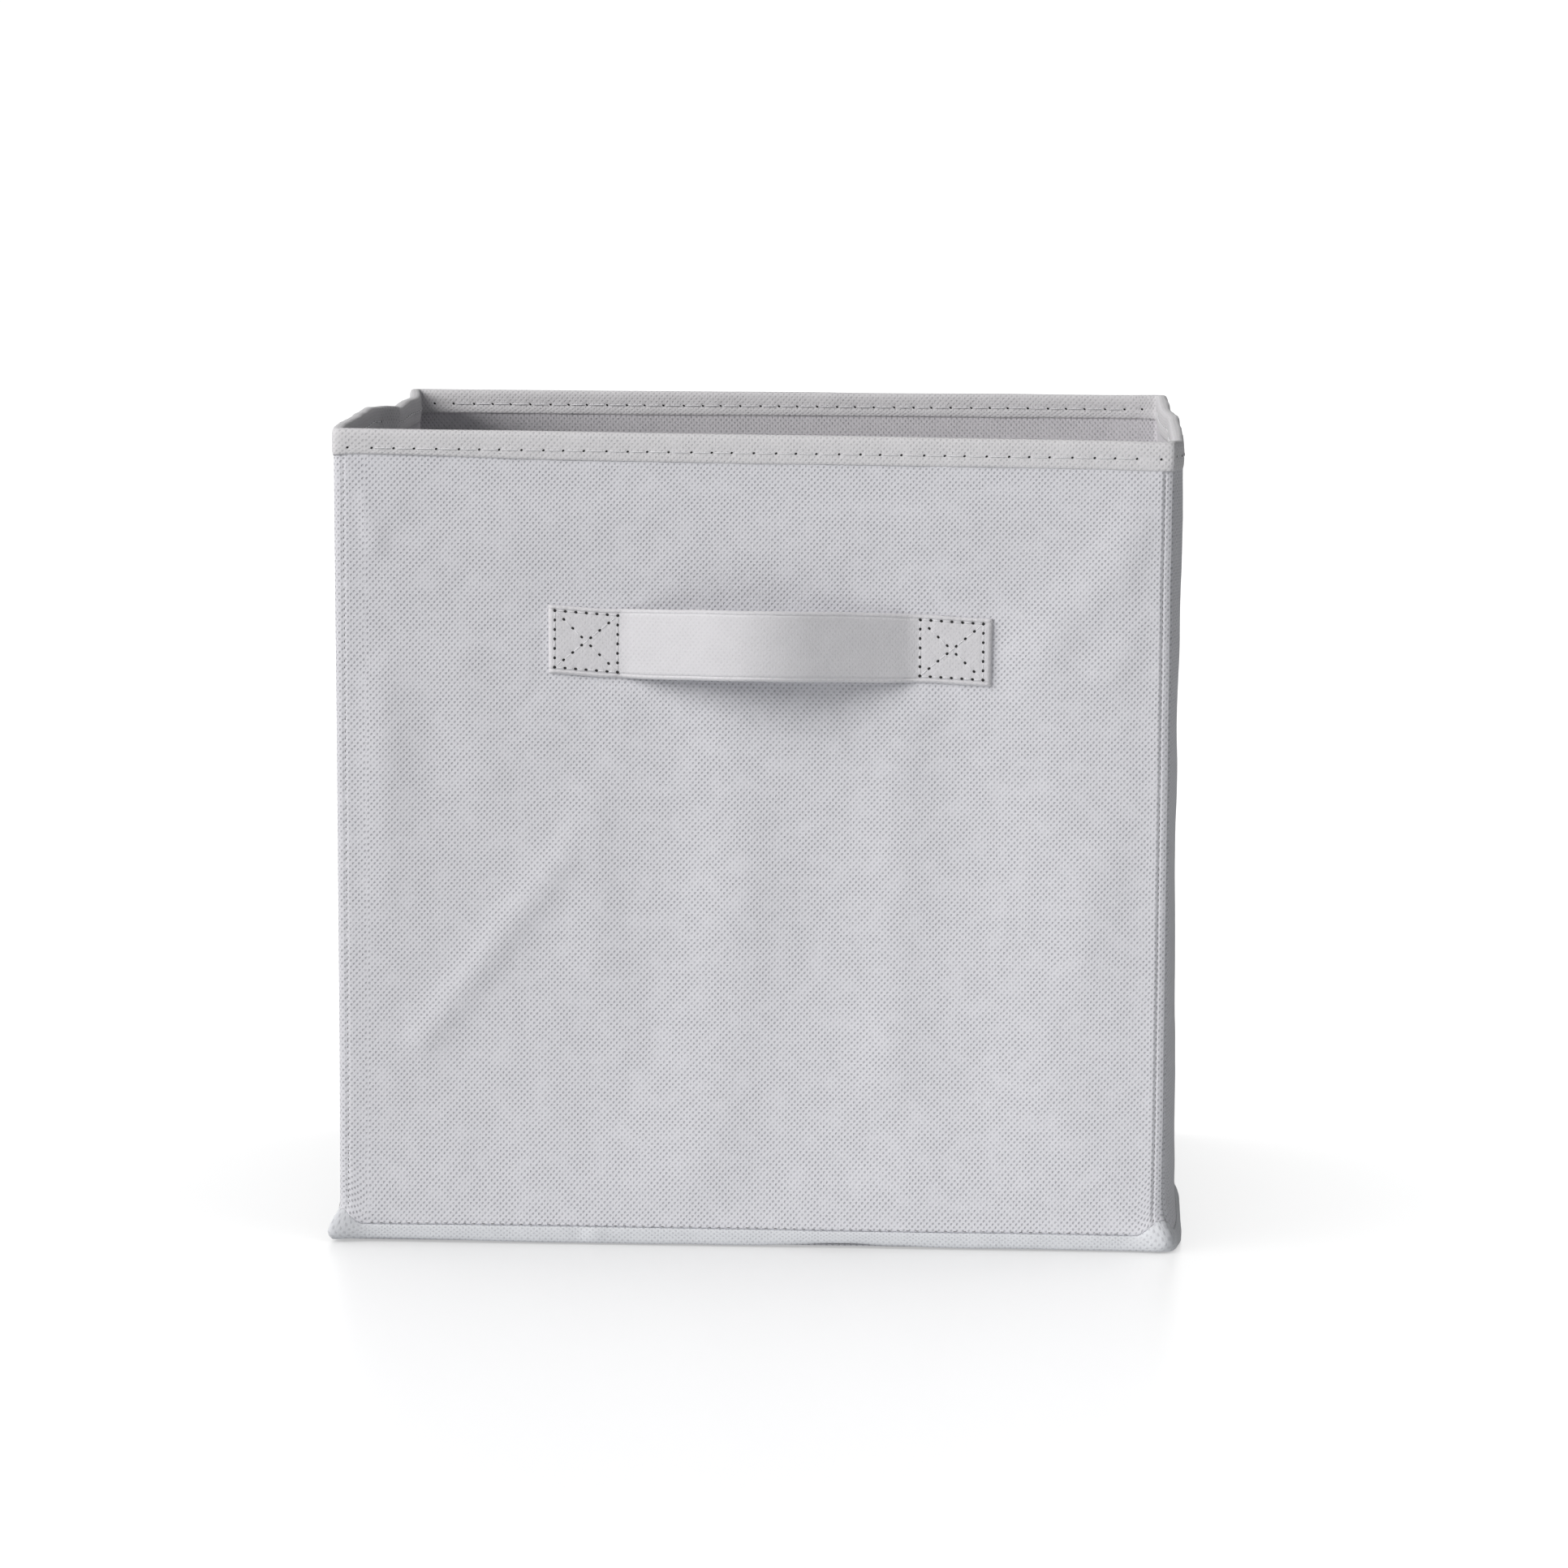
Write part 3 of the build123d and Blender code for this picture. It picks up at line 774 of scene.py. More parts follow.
for name, wall, a, b, body in PARTS:
    # outer panel
    us = u_lines(a, b, 2.4)
    U, Z = np.meshgrid(us, Z_SHELL, indexing="ij")
    W = shell_w(wall, U, Z)
    buf = Buf()
    uv = np.stack([perimeter_u(wall, U), Z], -1)
    Z = low_z(Z, hem_h(wall, U))
    buf.sheet(wall_points(wall, U, W, Z), wall_points(wall, U, W - 0.45, Z), uv)
    ob = buf.build(name + "_shell_cloth", [SHELL])
    finish_piece(ob, body, [name + "_outer_panel"])
    # lining
    us = u_lines(a, b, 3.0)
    U, Z = np.meshgrid(us, Z_LINING, indexing="ij")
    W = -3.0 - wrinkle_in(wall, U, Z)
    buf = Buf()
    uv = np.stack([perimeter_u(wall, U), Z], -1)
    buf.sheet(wall_points(wall, U, W + 0.45, Z), wall_points(wall, U, W, Z), uv)
    ob = buf.build(name + "_lining_cloth", [LINING])
    finish_piece(ob, body, [name + "_lining"])
    # rim binding
    us = u_lines(a, b, PITCH_ST / 8)
    buf = Buf()
    buf.loft(band_on_wall(BIND, wall, us, bind_shape), section_uv(BIND, perimeter_u(wall, us)))
    ob = buf.build(name + "_binding_cloth", [BINDING])
    finish_piece(ob, body, [name + "_rim_binding"])
    # bottom hem
    us = u_lines(a, b, 1.6)
    buf = Buf()
    buf.loft(band_on_wall(HEM, wall, us, hem_shape), section_uv(HEM, perimeter_u(wall, us)))
    ob = buf.build(name + "_hem_cloth", [HEMM])
    finish_piece(ob, body, [name + "_bottom_hem"])


# ---------------------------------------------------------------- boards of the bowed side walls
for name, wall, a, b, body in PARTS:
    if wall not in ("left", "right"):
        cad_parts[name + "_board"].data.materials.clear()
        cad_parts[name + "_board"].data.materials.append(BOARD)
        continue
    lo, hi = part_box(name + "_board")
    y0, y1, z0, z1 = lo.y * 1000, hi.y * 1000, lo.z * 1000, hi.z * 1000
    us = sorted(v * E[wall][1] for v in (y0, y1))
    us = u_lines(us[0], us[1], 4.0)
    zs = u_lines(z0, z1, 8.0)
    U, Z = np.meshgrid(us, zs, indexing="ij")
    buf = Buf()
    buf.sheet(wall_points(wall, U, -0.55, Z), wall_points(wall, U, -2.45, Z), np.stack([U, Z], -1))
    ob = buf.build(name + "_stiffener", [BOARD])
    finish_piece(ob, body, [name + "_board"])
    bpy.context.view_layer.update()


# ---------------------------------------------------------------- strips over the corners and the side folds
def strip_w(k, st, z, side):
    """The cloth's offset on a corner strip, continuing the wrinkles of the two walls, which fade out there."""
    A, B = WALLS[k], WALLS[(k + 1) % 4]
    p, q = at_station(PATHS[k][0 if side == "out" else 1], st)
    fn = wrinkle_out if side == "out" else wrinkle_in
    wa = fn(A, HALF + np.minimum(p, 0), z)
    wb = fn(B, -HALF - np.minimum(q, 0), z)
    out = np.where(st <= (K_ST - 1) // 2, wa, wb)
    return out + np.where(st <= (K_ST - 1) // 2, tuck(z, HALF + np.minimum(p, 0)), tuck(z, -HALF - np.minimum(q, 0))) if side == "out" else out


def strip_hem(k, st):
    """The seam's height over the hem, across a corner strip."""
    p, q = at_station(PATHS[k][0], st)
    A, B = WALLS[k], WALLS[(k + 1) % 4]
    t = smooth(0.0, K_ST - 1.0, st)
    return hem_h(A, HALF + np.minimum(p, 0)) * (1 - t) + hem_h(B, -HALF - np.minimum(q, 0)) * t


def corner_pieces(k, st0, st1, suffix, place, replaces_extra=()):
    """All cloth layers of one corner strip, between two stations. place(ob, slot, replaces, flat, held) attaches a
    piece to its body, or bakes it where it stands; slot, flat and held are not used.
    """
    A, B = WALLS[k], WALLS[(k + 1) % 4]
    sts = np.arange(st0, st1 + 1)
    st_mid = (K_ST - 1) // 2
    SO = PATHS[k][2]
    base = CORNERS[k][0] + suffix
    length = float(SO[st1] - SO[st0])
    along = perimeter_u(A, 140 - STRIP) + SO[sts]
    S, Z = np.meshgrid(sts, Z_SHELL, indexing="ij")
    W = strip_w(k, S, Z, "out")
    buf = Buf()
    uv = np.stack([perimeter_u(A, 140 - STRIP) + SO[S], Z], -1)
    Z = low_z(Z, strip_hem(k, S))
    go, gi = corner_points(k, S, W, Z), corner_points(k, S, W - 0.45, Z)
    if suffix:
        # the cloth's end turns in along the corner's seam
        one = 1 if suffix == "_rear" else -1
        end = 0 if suffix == "_rear" else -1
        turn_w = np.array([-0.9, -1.8, -2.7])
        TW, TZ = np.meshgrid(turn_w, Z[end], indexing="ij")
        eo, ei = corner_points(k, st_mid + 0 * TW, TW, TZ), corner_points(k, st_mid + one + 0 * TW, TW, TZ)
        gi[end] = corner_points(k, st_mid + one + 0 * W[end], W[end] - 0.45, Z[end])
        euv = uv[end][None] + np.stack([one * turn_w[:, None] + 0 * TZ, 0 * TZ], -1)
        if one > 0:
            go, gi, uv = np.concatenate([eo[::-1], go]), np.concatenate([ei[::-1], gi]), np.concatenate([euv[::-1], uv])
        else:
            go, gi, uv = np.concatenate([go, eo]), np.concatenate([gi, ei]), np.concatenate([uv, euv])
    buf.sheet(go, gi, uv)
    length += 3.7 if suffix else 0.0
    place(buf.build(base, [SHELL]), "shell_fabric", [CORNERS[k][2]] if not replaces_extra and st0 == 0 else [], (max(length, 10.0), 266.0), "stretched")
    S, Z = np.meshgrid(sts, Z_LINING, indexing="ij")
    W = -3.0 - strip_w(k, S, Z, "in")
    buf = Buf()
    buf.sheet(corner_points(k, S, W + 0.45, Z), corner_points(k, S, W, Z), np.stack([perimeter_u(A, 140 - STRIP) + SO[S], Z], -1))
    length -= 3.7 if suffix else 0.0
    place(buf.build(base.replace("_cloth", "_lining"), [LINING]), "lining_fabric", [], (max(length * 0.75, 10.0), 266.0), "stretched")
    for sec, shape, tag, mat, slot_name in ((BIND, bind_shape, "_binding", BINDING, "rim_binding_fabric"), (HEM, hem_shape, "_hem", HEMM, "shell_fabric")):
        w, z = sec[:, 0][None, :], sec[:, 1][None, :]
        S2 = sts[:, None] + np.zeros_like(w, int)
        paths = PATHS_B if tag == "_binding" else None
        op, ow = at_station((paths or PATHS)[k][0], S2)
        pa, pb = HALF + op, -HALF - ow
        wa, za = shape(A, np.minimum(pa, 140.0), w + 0 * S2, z + 0 * S2)
        wb, zb = shape(B, np.maximum(pb, -140.0), w + 0 * S2, z + 0 * S2)
        # one wall's shape runs into the other's across the strip
        t = smooth(0.0, K_ST - 1.0, S2)
        rings = corner_points(k, S2, wa * (1 - t) + wb * t, za * (1 - t) + zb * t, paths)
        buf = Buf()
        buf.loft(rings, section_uv(sec, along))
        place(buf.build(base.replace("_cloth", tag), [mat]), slot_name, [], (max(length, 10.0), 24.0 if tag == "_binding" else 17.0), "folded")


for k, (cname, pair, node) in enumerate(CORNERS):
    A, B = WALLS[k], WALLS[(k + 1) % 4]
    if pair is not None:
        # points at the inner layers' ends, one on each wall
        inner_a = np.array([(HALF - STRIP) * E[A][0] + (HALF - 3.62) * N[A][0], (HALF - STRIP) * E[A][1] + (HALF - 3.62) * N[A][1]])
        inner_b = np.array([-(HALF - STRIP) * E[B][0] + (HALF - 3.62) * N[B][0], -(HALF - STRIP) * E[B][1] + (HALF - 3.62) * N[B][1]])
        start, end = (*inner_a, 137.0), (*inner_b, 137.0)
        # pair is parent then child of the joint: front first, or left_rear then back
        bodies = {"front": "front", "right": "right_front" if k == 0 else "right_rear", "back": "back", "left": "left_front" if k == 3 else "left_rear"}
        ba, bb = bodies[A], bodies[B]

        def place(ob, slot_name, reps, flat, held, ba=ba, bb=bb, start=start, end=end):
            finish_piece(ob, (ba, bb), reps, blend=(start, end))
        corner_pieces(k, 0, K_ST - 1, "", place)
    else:
        half = (K_ST - 1) // 2

        def place_r(ob, slot_name, reps, flat, held):
            finish_piece(ob, "right_rear", reps)

        def place_b(ob, slot_name, reps, flat, held):
            finish_piece(ob, "back", reps)
        corner_pieces(k, 0, half, "_side", place_r)
        corner_pieces(k, half, K_ST - 1, "_rear", place_b)

# a web behind that corner's seam, tucked in the wall at rest
PX, PY = 134.5, 133.0
th = np.radians(np.linspace(56.0, -40.0, 33))
zs = np.r_[3.0, 8.0, np.linspace(16.0, 258.0, 40), 266.0, 271.5]
T, Z = np.meshgrid(th, zs, indexing="ij")
buf = Buf()
rad = 5.15
ring_o = np.stack([PX + rad * np.cos(T), PY + rad * np.sin(T), Z], -1)
ring_i = np.stack([PX + (rad - 0.45) * np.cos(T), PY + (rad - 0.45) * np.sin(T), Z], -1)
buf.sheet(ring_o, ring_i, np.stack([np.degrees(T) / 57.3 * rad, Z], -1), flip=True)
ob = buf.build("corner_back_right_web", [SHELL])
finish_piece(ob, "back", [])

for cname, wall, (ba, bb) in CREASES:
    sgn = 1.0
    a, b = -CREASE, CREASE
    first = ba if (wall == "right") else bb       # the body at u below 0
    second = bb if (wall == "right") else ba
    # the two turn points at each crease stand short of its middle, one either side
    turn = 2.3
    start = (-turn * E[wall][0] + HALF * N[wall][0], -turn * E[wall][1] + HALF * N[wall][1], 137.0)
    end = (turn * E[wall][0] + HALF * N[wall][0], turn * E[wall][1] + HALF * N[wall][1], 137.0)
    web = cname + "_web"

    def place(ob, slot_name, reps, flat, held):
        finish_piece(ob, (second, first), reps, blend=(end, start))
    us = np.r_[np.linspace(a, -1.6, 8), np.linspace(1.6, b, 8)]
    U, Z = np.meshgrid(us, Z_SHELL, indexing="ij")
    W = shell_w(wall, U, Z) - 0.22 * np.exp(-(U / 1.7) ** 2)
    uv = np.stack([perimeter_u(wall, U), Z], -1)
    Z = low_z(Z, hem_h(wall, U))
    buf = Buf()
    buf.sheet(wall_points(wall, U, W, Z), wall_points(wall, U, W - 0.45, Z), uv)
    place(buf.build(cname + "_shell_cloth", [SHELL]), "shell_fabric", [web], (2 * CREASE, 266.0), "stretched")
    U, Z = np.meshgrid(us, Z_LINING, indexing="ij")
    W = -3.0 - wrinkle_in(wall, U, Z) + 0.25 * np.exp(-(U / 1.7) ** 2)
    buf = Buf()
    buf.sheet(wall_points(wall, U, W + 0.45, Z), wall_points(wall, U, W, Z), np.stack([perimeter_u(wall, U), Z], -1))
    place(buf.build(cname + "_lining_cloth", [LINING]), "lining_fabric", [], (2 * CREASE, 266.0), "stretched")
    for sec, shape, tag, mat, slot_name, wid in ((BIND, bind_shape, "_binding_cloth", BINDING, "rim_binding_fabric", 24.0), (HEM, hem_shape, "_hem_cloth", HEMM, "shell_fabric", 17.0)):
        buf = Buf()
        buf.loft(band_on_wall(sec, wall, us, shape), section_uv(sec, perimeter_u(wall, us)))
        place(buf.build(cname + tag, [mat]), slot_name, [], (2 * CREASE, wid), "folded")


# ---------------------------------------------------------------- stitching
def tube(buf, pts, rad, n=6, mat=0, uvlen=0.0):
    """A small closed tube through points, thinned at both ends."""
    pts = np.asarray(pts, float)
    t = np.gradient(pts, axis=0)
    t /= np.linalg.norm(t, axis=1)[:, None] + 1e-12
    ref = np.array([0.0, 0.0, 1.0])
    if abs(t[0] @ ref) > 0.9:
        ref = np.array([1.0, 0.0, 0.0])
    s = np.cross(t, ref)
    s /= np.linalg.norm(s, axis=1)[:, None] + 1e-12
    q = np.cross(s, t)
    m = len(pts)
    taper = np.sqrt(np.clip(1 - np.linspace(-1, 1, m) ** 6, 0.06, 1))
    ang = np.linspace(0, 2 * np.pi, n, endpoint=False)
    ring = pts[:, None, :] + rad * taper[:, None, None] * (np.cos(ang)[None, :, None] * s[:, None, :] + np.sin(ang)[None, :, None] * q[:, None, :])
    idx = np.arange(m * n).reshape(m, n)
    nx = np.roll(idx, -1, 1)
    f = np.stack([idx[:-1].ravel(), nx[:-1].ravel(), nx[1:].ravel(), idx[1:].ravel()], 1).tolist()
    f.append(idx[0].tolist())
    f.append(idx[-1][::-1].tolist())
    d = np.r_[0, np.cumsum(np.linalg.norm(np.diff(pts, axis=0), axis=1))] + uvlen
    uv = np.stack(np.broadcast_arrays(d[:, None], ang[None, :] * rad), -1)
    buf.add(ring, f, uv, mat)


def hole(buf, c, normal, along, a, b, mat=1, tilt=0.0, lift=0.05, depth=0.5):
    """A needle hole: an oval lens with a sunken middle, just proud of the cloth round it, in a dark colour painted in
    as shade.
    """
    c, nrm, t = (np.asarray(v, float) for v in (c, normal, along))
    nrm = nrm / np.linalg.norm(nrm)
    t = t - (t @ nrm) * nrm
    t /= np.linalg.norm(t)
    s = np.cross(nrm, t)
    ct, st = math.cos(tilt), math.sin(tilt)
    t, s = ct * t + st * s, -st * t + ct * s
    ang = np.linspace(0, 2 * np.pi, 12, endpoint=False)
    rim = c + lift * nrm + np.cos(ang)[:, None] * a * t + np.sin(ang)[:, None] * b * s
    back = c - depth * nrm + np.cos(ang)[:, None] * a * 0.6 * t + np.sin(ang)[:, None] * b * 0.6 * s
    mid = c + (lift + 0.02) * nrm
    v = np.vstack([rim, back, mid[None], (c - depth * nrm)[None]])
    f = []
    for i in range(12):
        j = (i + 1) % 12
        f.append([i, j, 24])
        f.append([j, i, 12 + i, 12 + j])
        f.append([12 + j, 12 + i, 25])
    buf.add(v, f, np.zeros((len(v), 2)), mat)


def run_stitches(buf, holes, normals, rad=0.17, mat=0, hole_a=0.36, hole_b=0.27, tilt=0.5, bulge=0.16, hole_mat=1, lift=0.05, close=False, gap=0.3):
    """Holes at the given points, with a thread lying between each two."""
    n = len(holes)
    for i in range(n):
        j = min(i + 1, n - 1)
        al = holes[j] - holes[max(0, j - 1)]
        hole(buf, holes[i], normals[i], al, hole_a, hole_b, hole_mat, tilt, lift)
    for i in range(n - 1):
        a, b = holes[i], holes[i + 1]
        na, nb = normals[i], normals[i + 1]
        L = np.linalg.norm(b - a)
        t = np.linspace(gap / L, 1 - gap / L, 7)
        p = a[None] * (1 - t[:, None]) + b[None] * t[:, None]
        nn = na[None] * (1 - t[:, None]) + nb[None] * t[:, None]
        lift2 = -0.10 + (bulge + 0.10) * np.sin(np.pi * np.clip((t - t[0]) / (t[-1] - t[0]), 0, 1)) ** 0.5
        tube(buf, p + nn * lift2[:, None], rad, 6, mat, float(i))


def wall_normal(wall):
    return np.array([N[wall][0], N[wall][1], 0.0])


def rim_surface(wall, us, side, proud):
    """Points on the binding's outer (side 1) or inner face along the stitch row."""
    w, z = bind_shape(wall, us, np.full_like(us, 0.58 if side > 0 else -3.58), z_row(wall, us))
    return w + side * proud, z


def rim_row(buf, holes, place, side, normal, tangent):
    """Needle holes at the given places along the rim, and the thread between them. place(us, proud) gives points."""
    pts = place(holes, 0.12)
    for i, p in enumerate(pts):
        hole(buf, p, normal, tangent, 0.46, 0.35, 1, 0.55 * side, 0.05)
    for i in range(len(holes) - 1):
        u0, u1 = holes[i] + 0.45, holes[i + 1] - 0.35
        t = np.linspace(0, 1, 9)
        us = u0 + (u1 - u0) * t
        bulge = -0.10 + 0.27 * np.sin(np.pi * np.clip(t, 0, 1)) ** 0.4
        q = place(us, 0.06) + np.asarray(normal)[None] * bulge[:, None]
        tube(buf, q, 0.16, 6, 0, float(i))


for name, wall, a, b, body in PARTS:
    buf = Buf()
    hs = hole_us(wall)
    hs = hs[(hs >= a - 0.01) & (hs <= b + 0.01)]
    for side in (1, -1):
        def place(us, proud, wall=wall, side=side):
            w, z = rim_surface(wall, us, side, proud)
            return wall_points(wall, us, w, z)
        rim_row(buf, hs, place, side, side * wall_normal(wall), np.array([E[wall][0], E[wall][1], 0.0]))
    # fine dark marks in the seam over the hem: painted shade dotted along the stitching
    ks = np.arange(a + 1.7, b - 1.0, 3.2)
    zz = hem_h(wall, ks) + 0.55
    pts = wall_points(wall, ks, wrinkle_out(wall, ks, zz) + 0.0, zz)
    nv = wall_normal(wall)
    for i, p in enumerate(pts):
        hole(buf, p, nv, np.array([E[wall][0], E[wall][1], 0.0]), 0.60, 0.15, 2, 0.0, 0.02, 0.3)
    ob = buf.build(name + "_stitching", [THREAD, DEEP_HOLE_SHADE, SEAM_SHADE])
    finish_piece(ob, body, [name + "_threads"])

# the same rows over the corners
for k in range(4):
    A, B = WALLS[k], WALLS[(k + 1) % 4]
    mid_st = (K_ST - 1) // 2
    stn = np.arange(K_ST)
    for half, wall in ((0, A), (1, B)):
        hs = hole_us(wall)
        hs = hs[(hs > 130.01) & (hs < 138.2)] if half == 0 else hs[(hs < -130.01) & (hs > -138.2)]
        buf = Buf()
        for side in (1, -1):
            tab_ = PATHS_B[k][0 if side > 0 else 1]
            if side < 0:
                hs_in = hs[np.abs(hs) < 136.0]
            else:
                hs_in = hs
            if not len(hs_in):
                continue

            def place(us, proud, wall=wall, side=side, half=half, k=k, tab_=tab_):
                w, z = rim_surface(wall, us, side, proud)
                if half == 0:
                    st = np.interp(us - 140.0, tab_[:mid_st + 1, 0], stn[:mid_st + 1])
                else:
                    st = np.interp(us + 140.0, -tab_[mid_st:, 1], stn[mid_st:])
                return corner_points(k, st, w, z, PATHS_B)
            rim_row(buf, hs_in, place, side, side * wall_normal(wall), np.array([E[wall][0], E[wall][1], 0.0]))
        # fine dark marks down the board's edge: painted shade dotted along the edge's groove
        zz = np.arange(10.5, 262.5, 2.14)
        where = [(-3.1, 0.42, 0.17)] if half == 0 or k != 0 else [(-2.6, 0.46, 0.24)]
        for p0, ra, rb in where:
            tab2 = PATHS[k][0]
            if half == 0:
                st0 = np.interp(p0, tab2[:mid_st + 1, 0], stn[:mid_st + 1])
            else:
                st0 = np.interp(-p0, -tab2[mid_st:, 1], stn[mid_st:])
            pts = corner_points(k, st0 + 0 * zz, strip_w(k, st0 + 0 * zz, zz, "out") + 0.02, zz)
            for i, p in enumerate(pts):
                if (i * 7 + k) % 11 != 3:
                    hole(buf, p, wall_normal(wall), np.array([0.0, 0.0, 1.0]), ra, rb, 2, 0.0, 0.02, 0.25)
        ob = buf.build(CORNERS[k][0].replace("_cloth", "_stitching") + "_" + wall, [THREAD, DEEP_HOLE_SHADE, SEAM_SHADE])
        bodies_at = {"front": "front", "right": "right_front" if k == 0 else "right_rear", "back": "back", "left": "left_front" if k == 3 else "left_rear"}
        if CORNERS[k][1] is None:
            finish_piece(ob, bodies_at[wall], [])
        else:
            inner_a = np.array([(HALF - STRIP) * E[A][0] + (HALF - 3.62) * N[A][0], (HALF - STRIP) * E[A][1] + (HALF - 3.62) * N[A][1]])
            inner_b = np.array([-(HALF - STRIP) * E[B][0] + (HALF - 3.62) * N[B][0], -(HALF - STRIP) * E[B][1] + (HALF - 3.62) * N[B][1]])
            finish_piece(ob, (bodies_at[A], bodies_at[B]), [], blend=((*inner_a, 137.0), (*inner_b, 137.0)))


# ---------------------------------------------------------------- handle strap
U_L0, U_L1 = -68.6, -44.7     # left tab
U_R0, U_R1 = 55.8, 80.6       # right tab


def strap_w(u):
    """Height of the strap's inner face over the wall: flat on the tabs, a soft tent between them."""
    us = np.linspace(U_L1, U_R0, 800)
    sl = np.interp(us, [U_L1, U_L1 + 1.2, U_L1 + 4.0, -17.0, -6.0, 3.0, 12.0, 21.0, U_R0 - 4.5, U_R0 - 1.4, U_R0],
                   [0.0, 0.16, 0.40, 0.395, 0.22, 0.0, -0.20, -0.352, -0.372, -0.14, 0.0])
    h = np.r_[0, np.cumsum((sl[1:] + sl[:-1]) / 2 * np.diff(us))]
    h = h - h[-1] * (us - us[0]) / (us[-1] - us[0])
    return np.interp(u, us, h, left=0.0, right=0.0)


def strap_zc(u):
    """The strap's centre line: the tabs slope down to the right, the free part is level and slightly raised."""
    return np.interp(u, [-68.6, -50.0, -40.0, -20.0, 3.0, 30.0, 50.0, 60.0, 80.6], [205.0, 203.8, 203.75, 204.35, 204.75, 204.3, 203.6, 203.45, 202.35])


def strap_half(u):
    return np.interp(u, [-68.6, -46.0, -36.0, 3.0, 44.0, 56.0, 80.6], [11.35, 11.35, 11.6, 11.75, 11.6, 11.35, 11.35])


us = np.unique(np.r_[np.linspace(U_L0, U_L1, 34), np.linspace(U_L1, U_L1 + 6, 12), np.linspace(U_L1 + 6, U_R0 - 6, 76), np.linspace(U_R0 - 6, U_R0, 12), np.linspace(U_R0, U_R1, 34)])
T_ST = 1.4
vv = 1 - np.array([0, 0.12, 0.3, 0.55, 0.85, 1.05, 1.2, 1.35, 1.5, 1.65, 1.85, 2.2, 2.75, 3.4, 4.1, 4.9, 5.8, 6.8, 7.9, 9.1, 10.4]) / 11.7
vv = np.r_[-vv, 0.0, vv[::-1]]
nv = len(vv)


def box_points(tab):
    """Needle holes of one sewn tab: the four sides, then the two diagonals, in order, as (u, z)."""
    uc, zc, tilt = TABS[tab]
    hw, hh = 10.6, 9.4
    c = [(-hw, hh), (hw, hh), (hw, -hh), (-hw, -hh)]
    sides = []
    for i in range(4):
        p, q = np.array(c[i]), np.array(c[(i + 1) % 4])
        sides.append(np.array([p + (q - p) * t for t in np.linspace(0, 1, 7)]))
    for p, q in ((c[0], c[2]), (c[3], c[1])):
        p, q = np.array(p), np.array(q)
        sides.append(np.array([p + (q - p) * t for t in np.linspace(0, 1, 8)]))
    return [np.stack([s[:, 0] + uc, s[:, 1] + zc + math.tan(tilt) * s[:, 0]], 1) for s in sides]


def tab_dent(u, z):
    """The thread's pull on the strap, along the sewn box and its diagonals."""
    d = np.zeros_like(u)
    for tab in (0, 1):
        near = np.exp(-np.maximum(0, np.abs(u - TABS[tab][0]) - 14.0) ** 2)
        line = np.zeros_like(u)
        for s in box_points(tab):
            p, q = s[0], s[-1]
            L2 = ((q - p) ** 2).sum()
            t = np.clip(((u - p[0]) * (q - p)[0] + (z - p[1]) * (q - p)[1]) / L2, 0, 1)
            dd = (u - p[0] - t * (q - p)[0]) ** 2 + (z - p[1] - t * (q - p)[1]) ** 2
            line = np.maximum(line, 0.04 * np.exp(-dd / 0.75 ** 2))
            for h in s:
                d2 = (u - h[0]) ** 2 + (z - h[1]) ** 2
                line = np.maximum(line, 0.30 * np.exp(-d2 / 0.75 ** 2))
        d = np.maximum(d, line * near)
    return d


UU, VV = np.meshgrid(us, vv, indexing="ij")
half = strap_half(UU)
edge_wave = 0.14 * vnoise(UU / 14.0, 0.5 + 3 * (VV > 0), 91)
tilt_u = np.where(UU < U_L1, math.tan(math.radians(1.6)), np.where(UU > U_R0, -math.tan(math.radians(1.0)), 0.0))
ZZ = strap_zc(UU) + VV * (half + edge_wave)
Ushift = UU + 0.0
# the ends of the tabs are not quite square
endL, endR = np.exp(-((UU - U_L0) / 4.0) ** 2), np.exp(-((UU - U_R1) / 4.0) ** 2)
Ushift = Ushift + endL * (VV * -0.18) + endR * (VV * 0.15)
h = strap_w(UU)
free = smooth(0, 3.0, UU - U_L1) * smooth(0, 3.0, U_R0 - UU)
dist_edge = (1 - np.abs(VV)) * half
crown = 0.22 * (1 - VV ** 2) * free
groove = 0.30 * np.exp(-((dist_edge - 1.42) / 0.30) ** 2) + 0.10 * (1 - smooth(1.2, 1.6, dist_edge))
round_e = 0.75 * np.clip(1 - dist_edge / 0.9, 0, 1) ** 2
end_d = np.minimum(UU - U_L0, U_R1 - UU)
round_end = 0.85 * np.clip(1 - end_d / 1.1, 0, 1) ** 2
puff = 0.06 * vnoise(UU / 7.0, VV * 1.6, 92) + 0.03 * vnoise(UU / 2.6, VV * 4.0, 93)
sink = 0.04 * np.ones_like(UU)
W_in = h + sink
W_out = h + T_ST + crown - groove - np.maximum(round_e, round_end) - tab_dent(Ushift, ZZ) * (1 - free) + puff
# on the slopes the thickness goes along the strap's normal
slope = np.gradient(strap_w(us), us)[:, None]
nx = -slope / np.sqrt(1 + slope ** 2)
nw = 1 / np.sqrt(1 + slope ** 2)
thick = W_out - W_in
outer = wall_points("front", Ushift + nx * thick, W_in + nw * thick, ZZ)
inner = wall_points("front", Ushift, W_in, ZZ)
buf = Buf()
along = np.r_[0, np.cumsum(np.hypot(np.diff(us), np.diff(strap_w(us))))]
uvs = np.stack(np.broadcast_arrays(along[:, None], VV * half + 40.0), -1)
buf.sheet(outer, inner, uvs)
# soften: the rim edge of the strap is a fold, so it shades smoothly
buf.sharp = [np.zeros_like(s) for s in buf.sharp]
strap = buf.build("handle_strap_webbing", [STRAPM])
finish_piece(strap, "front", ["handle_strap"])

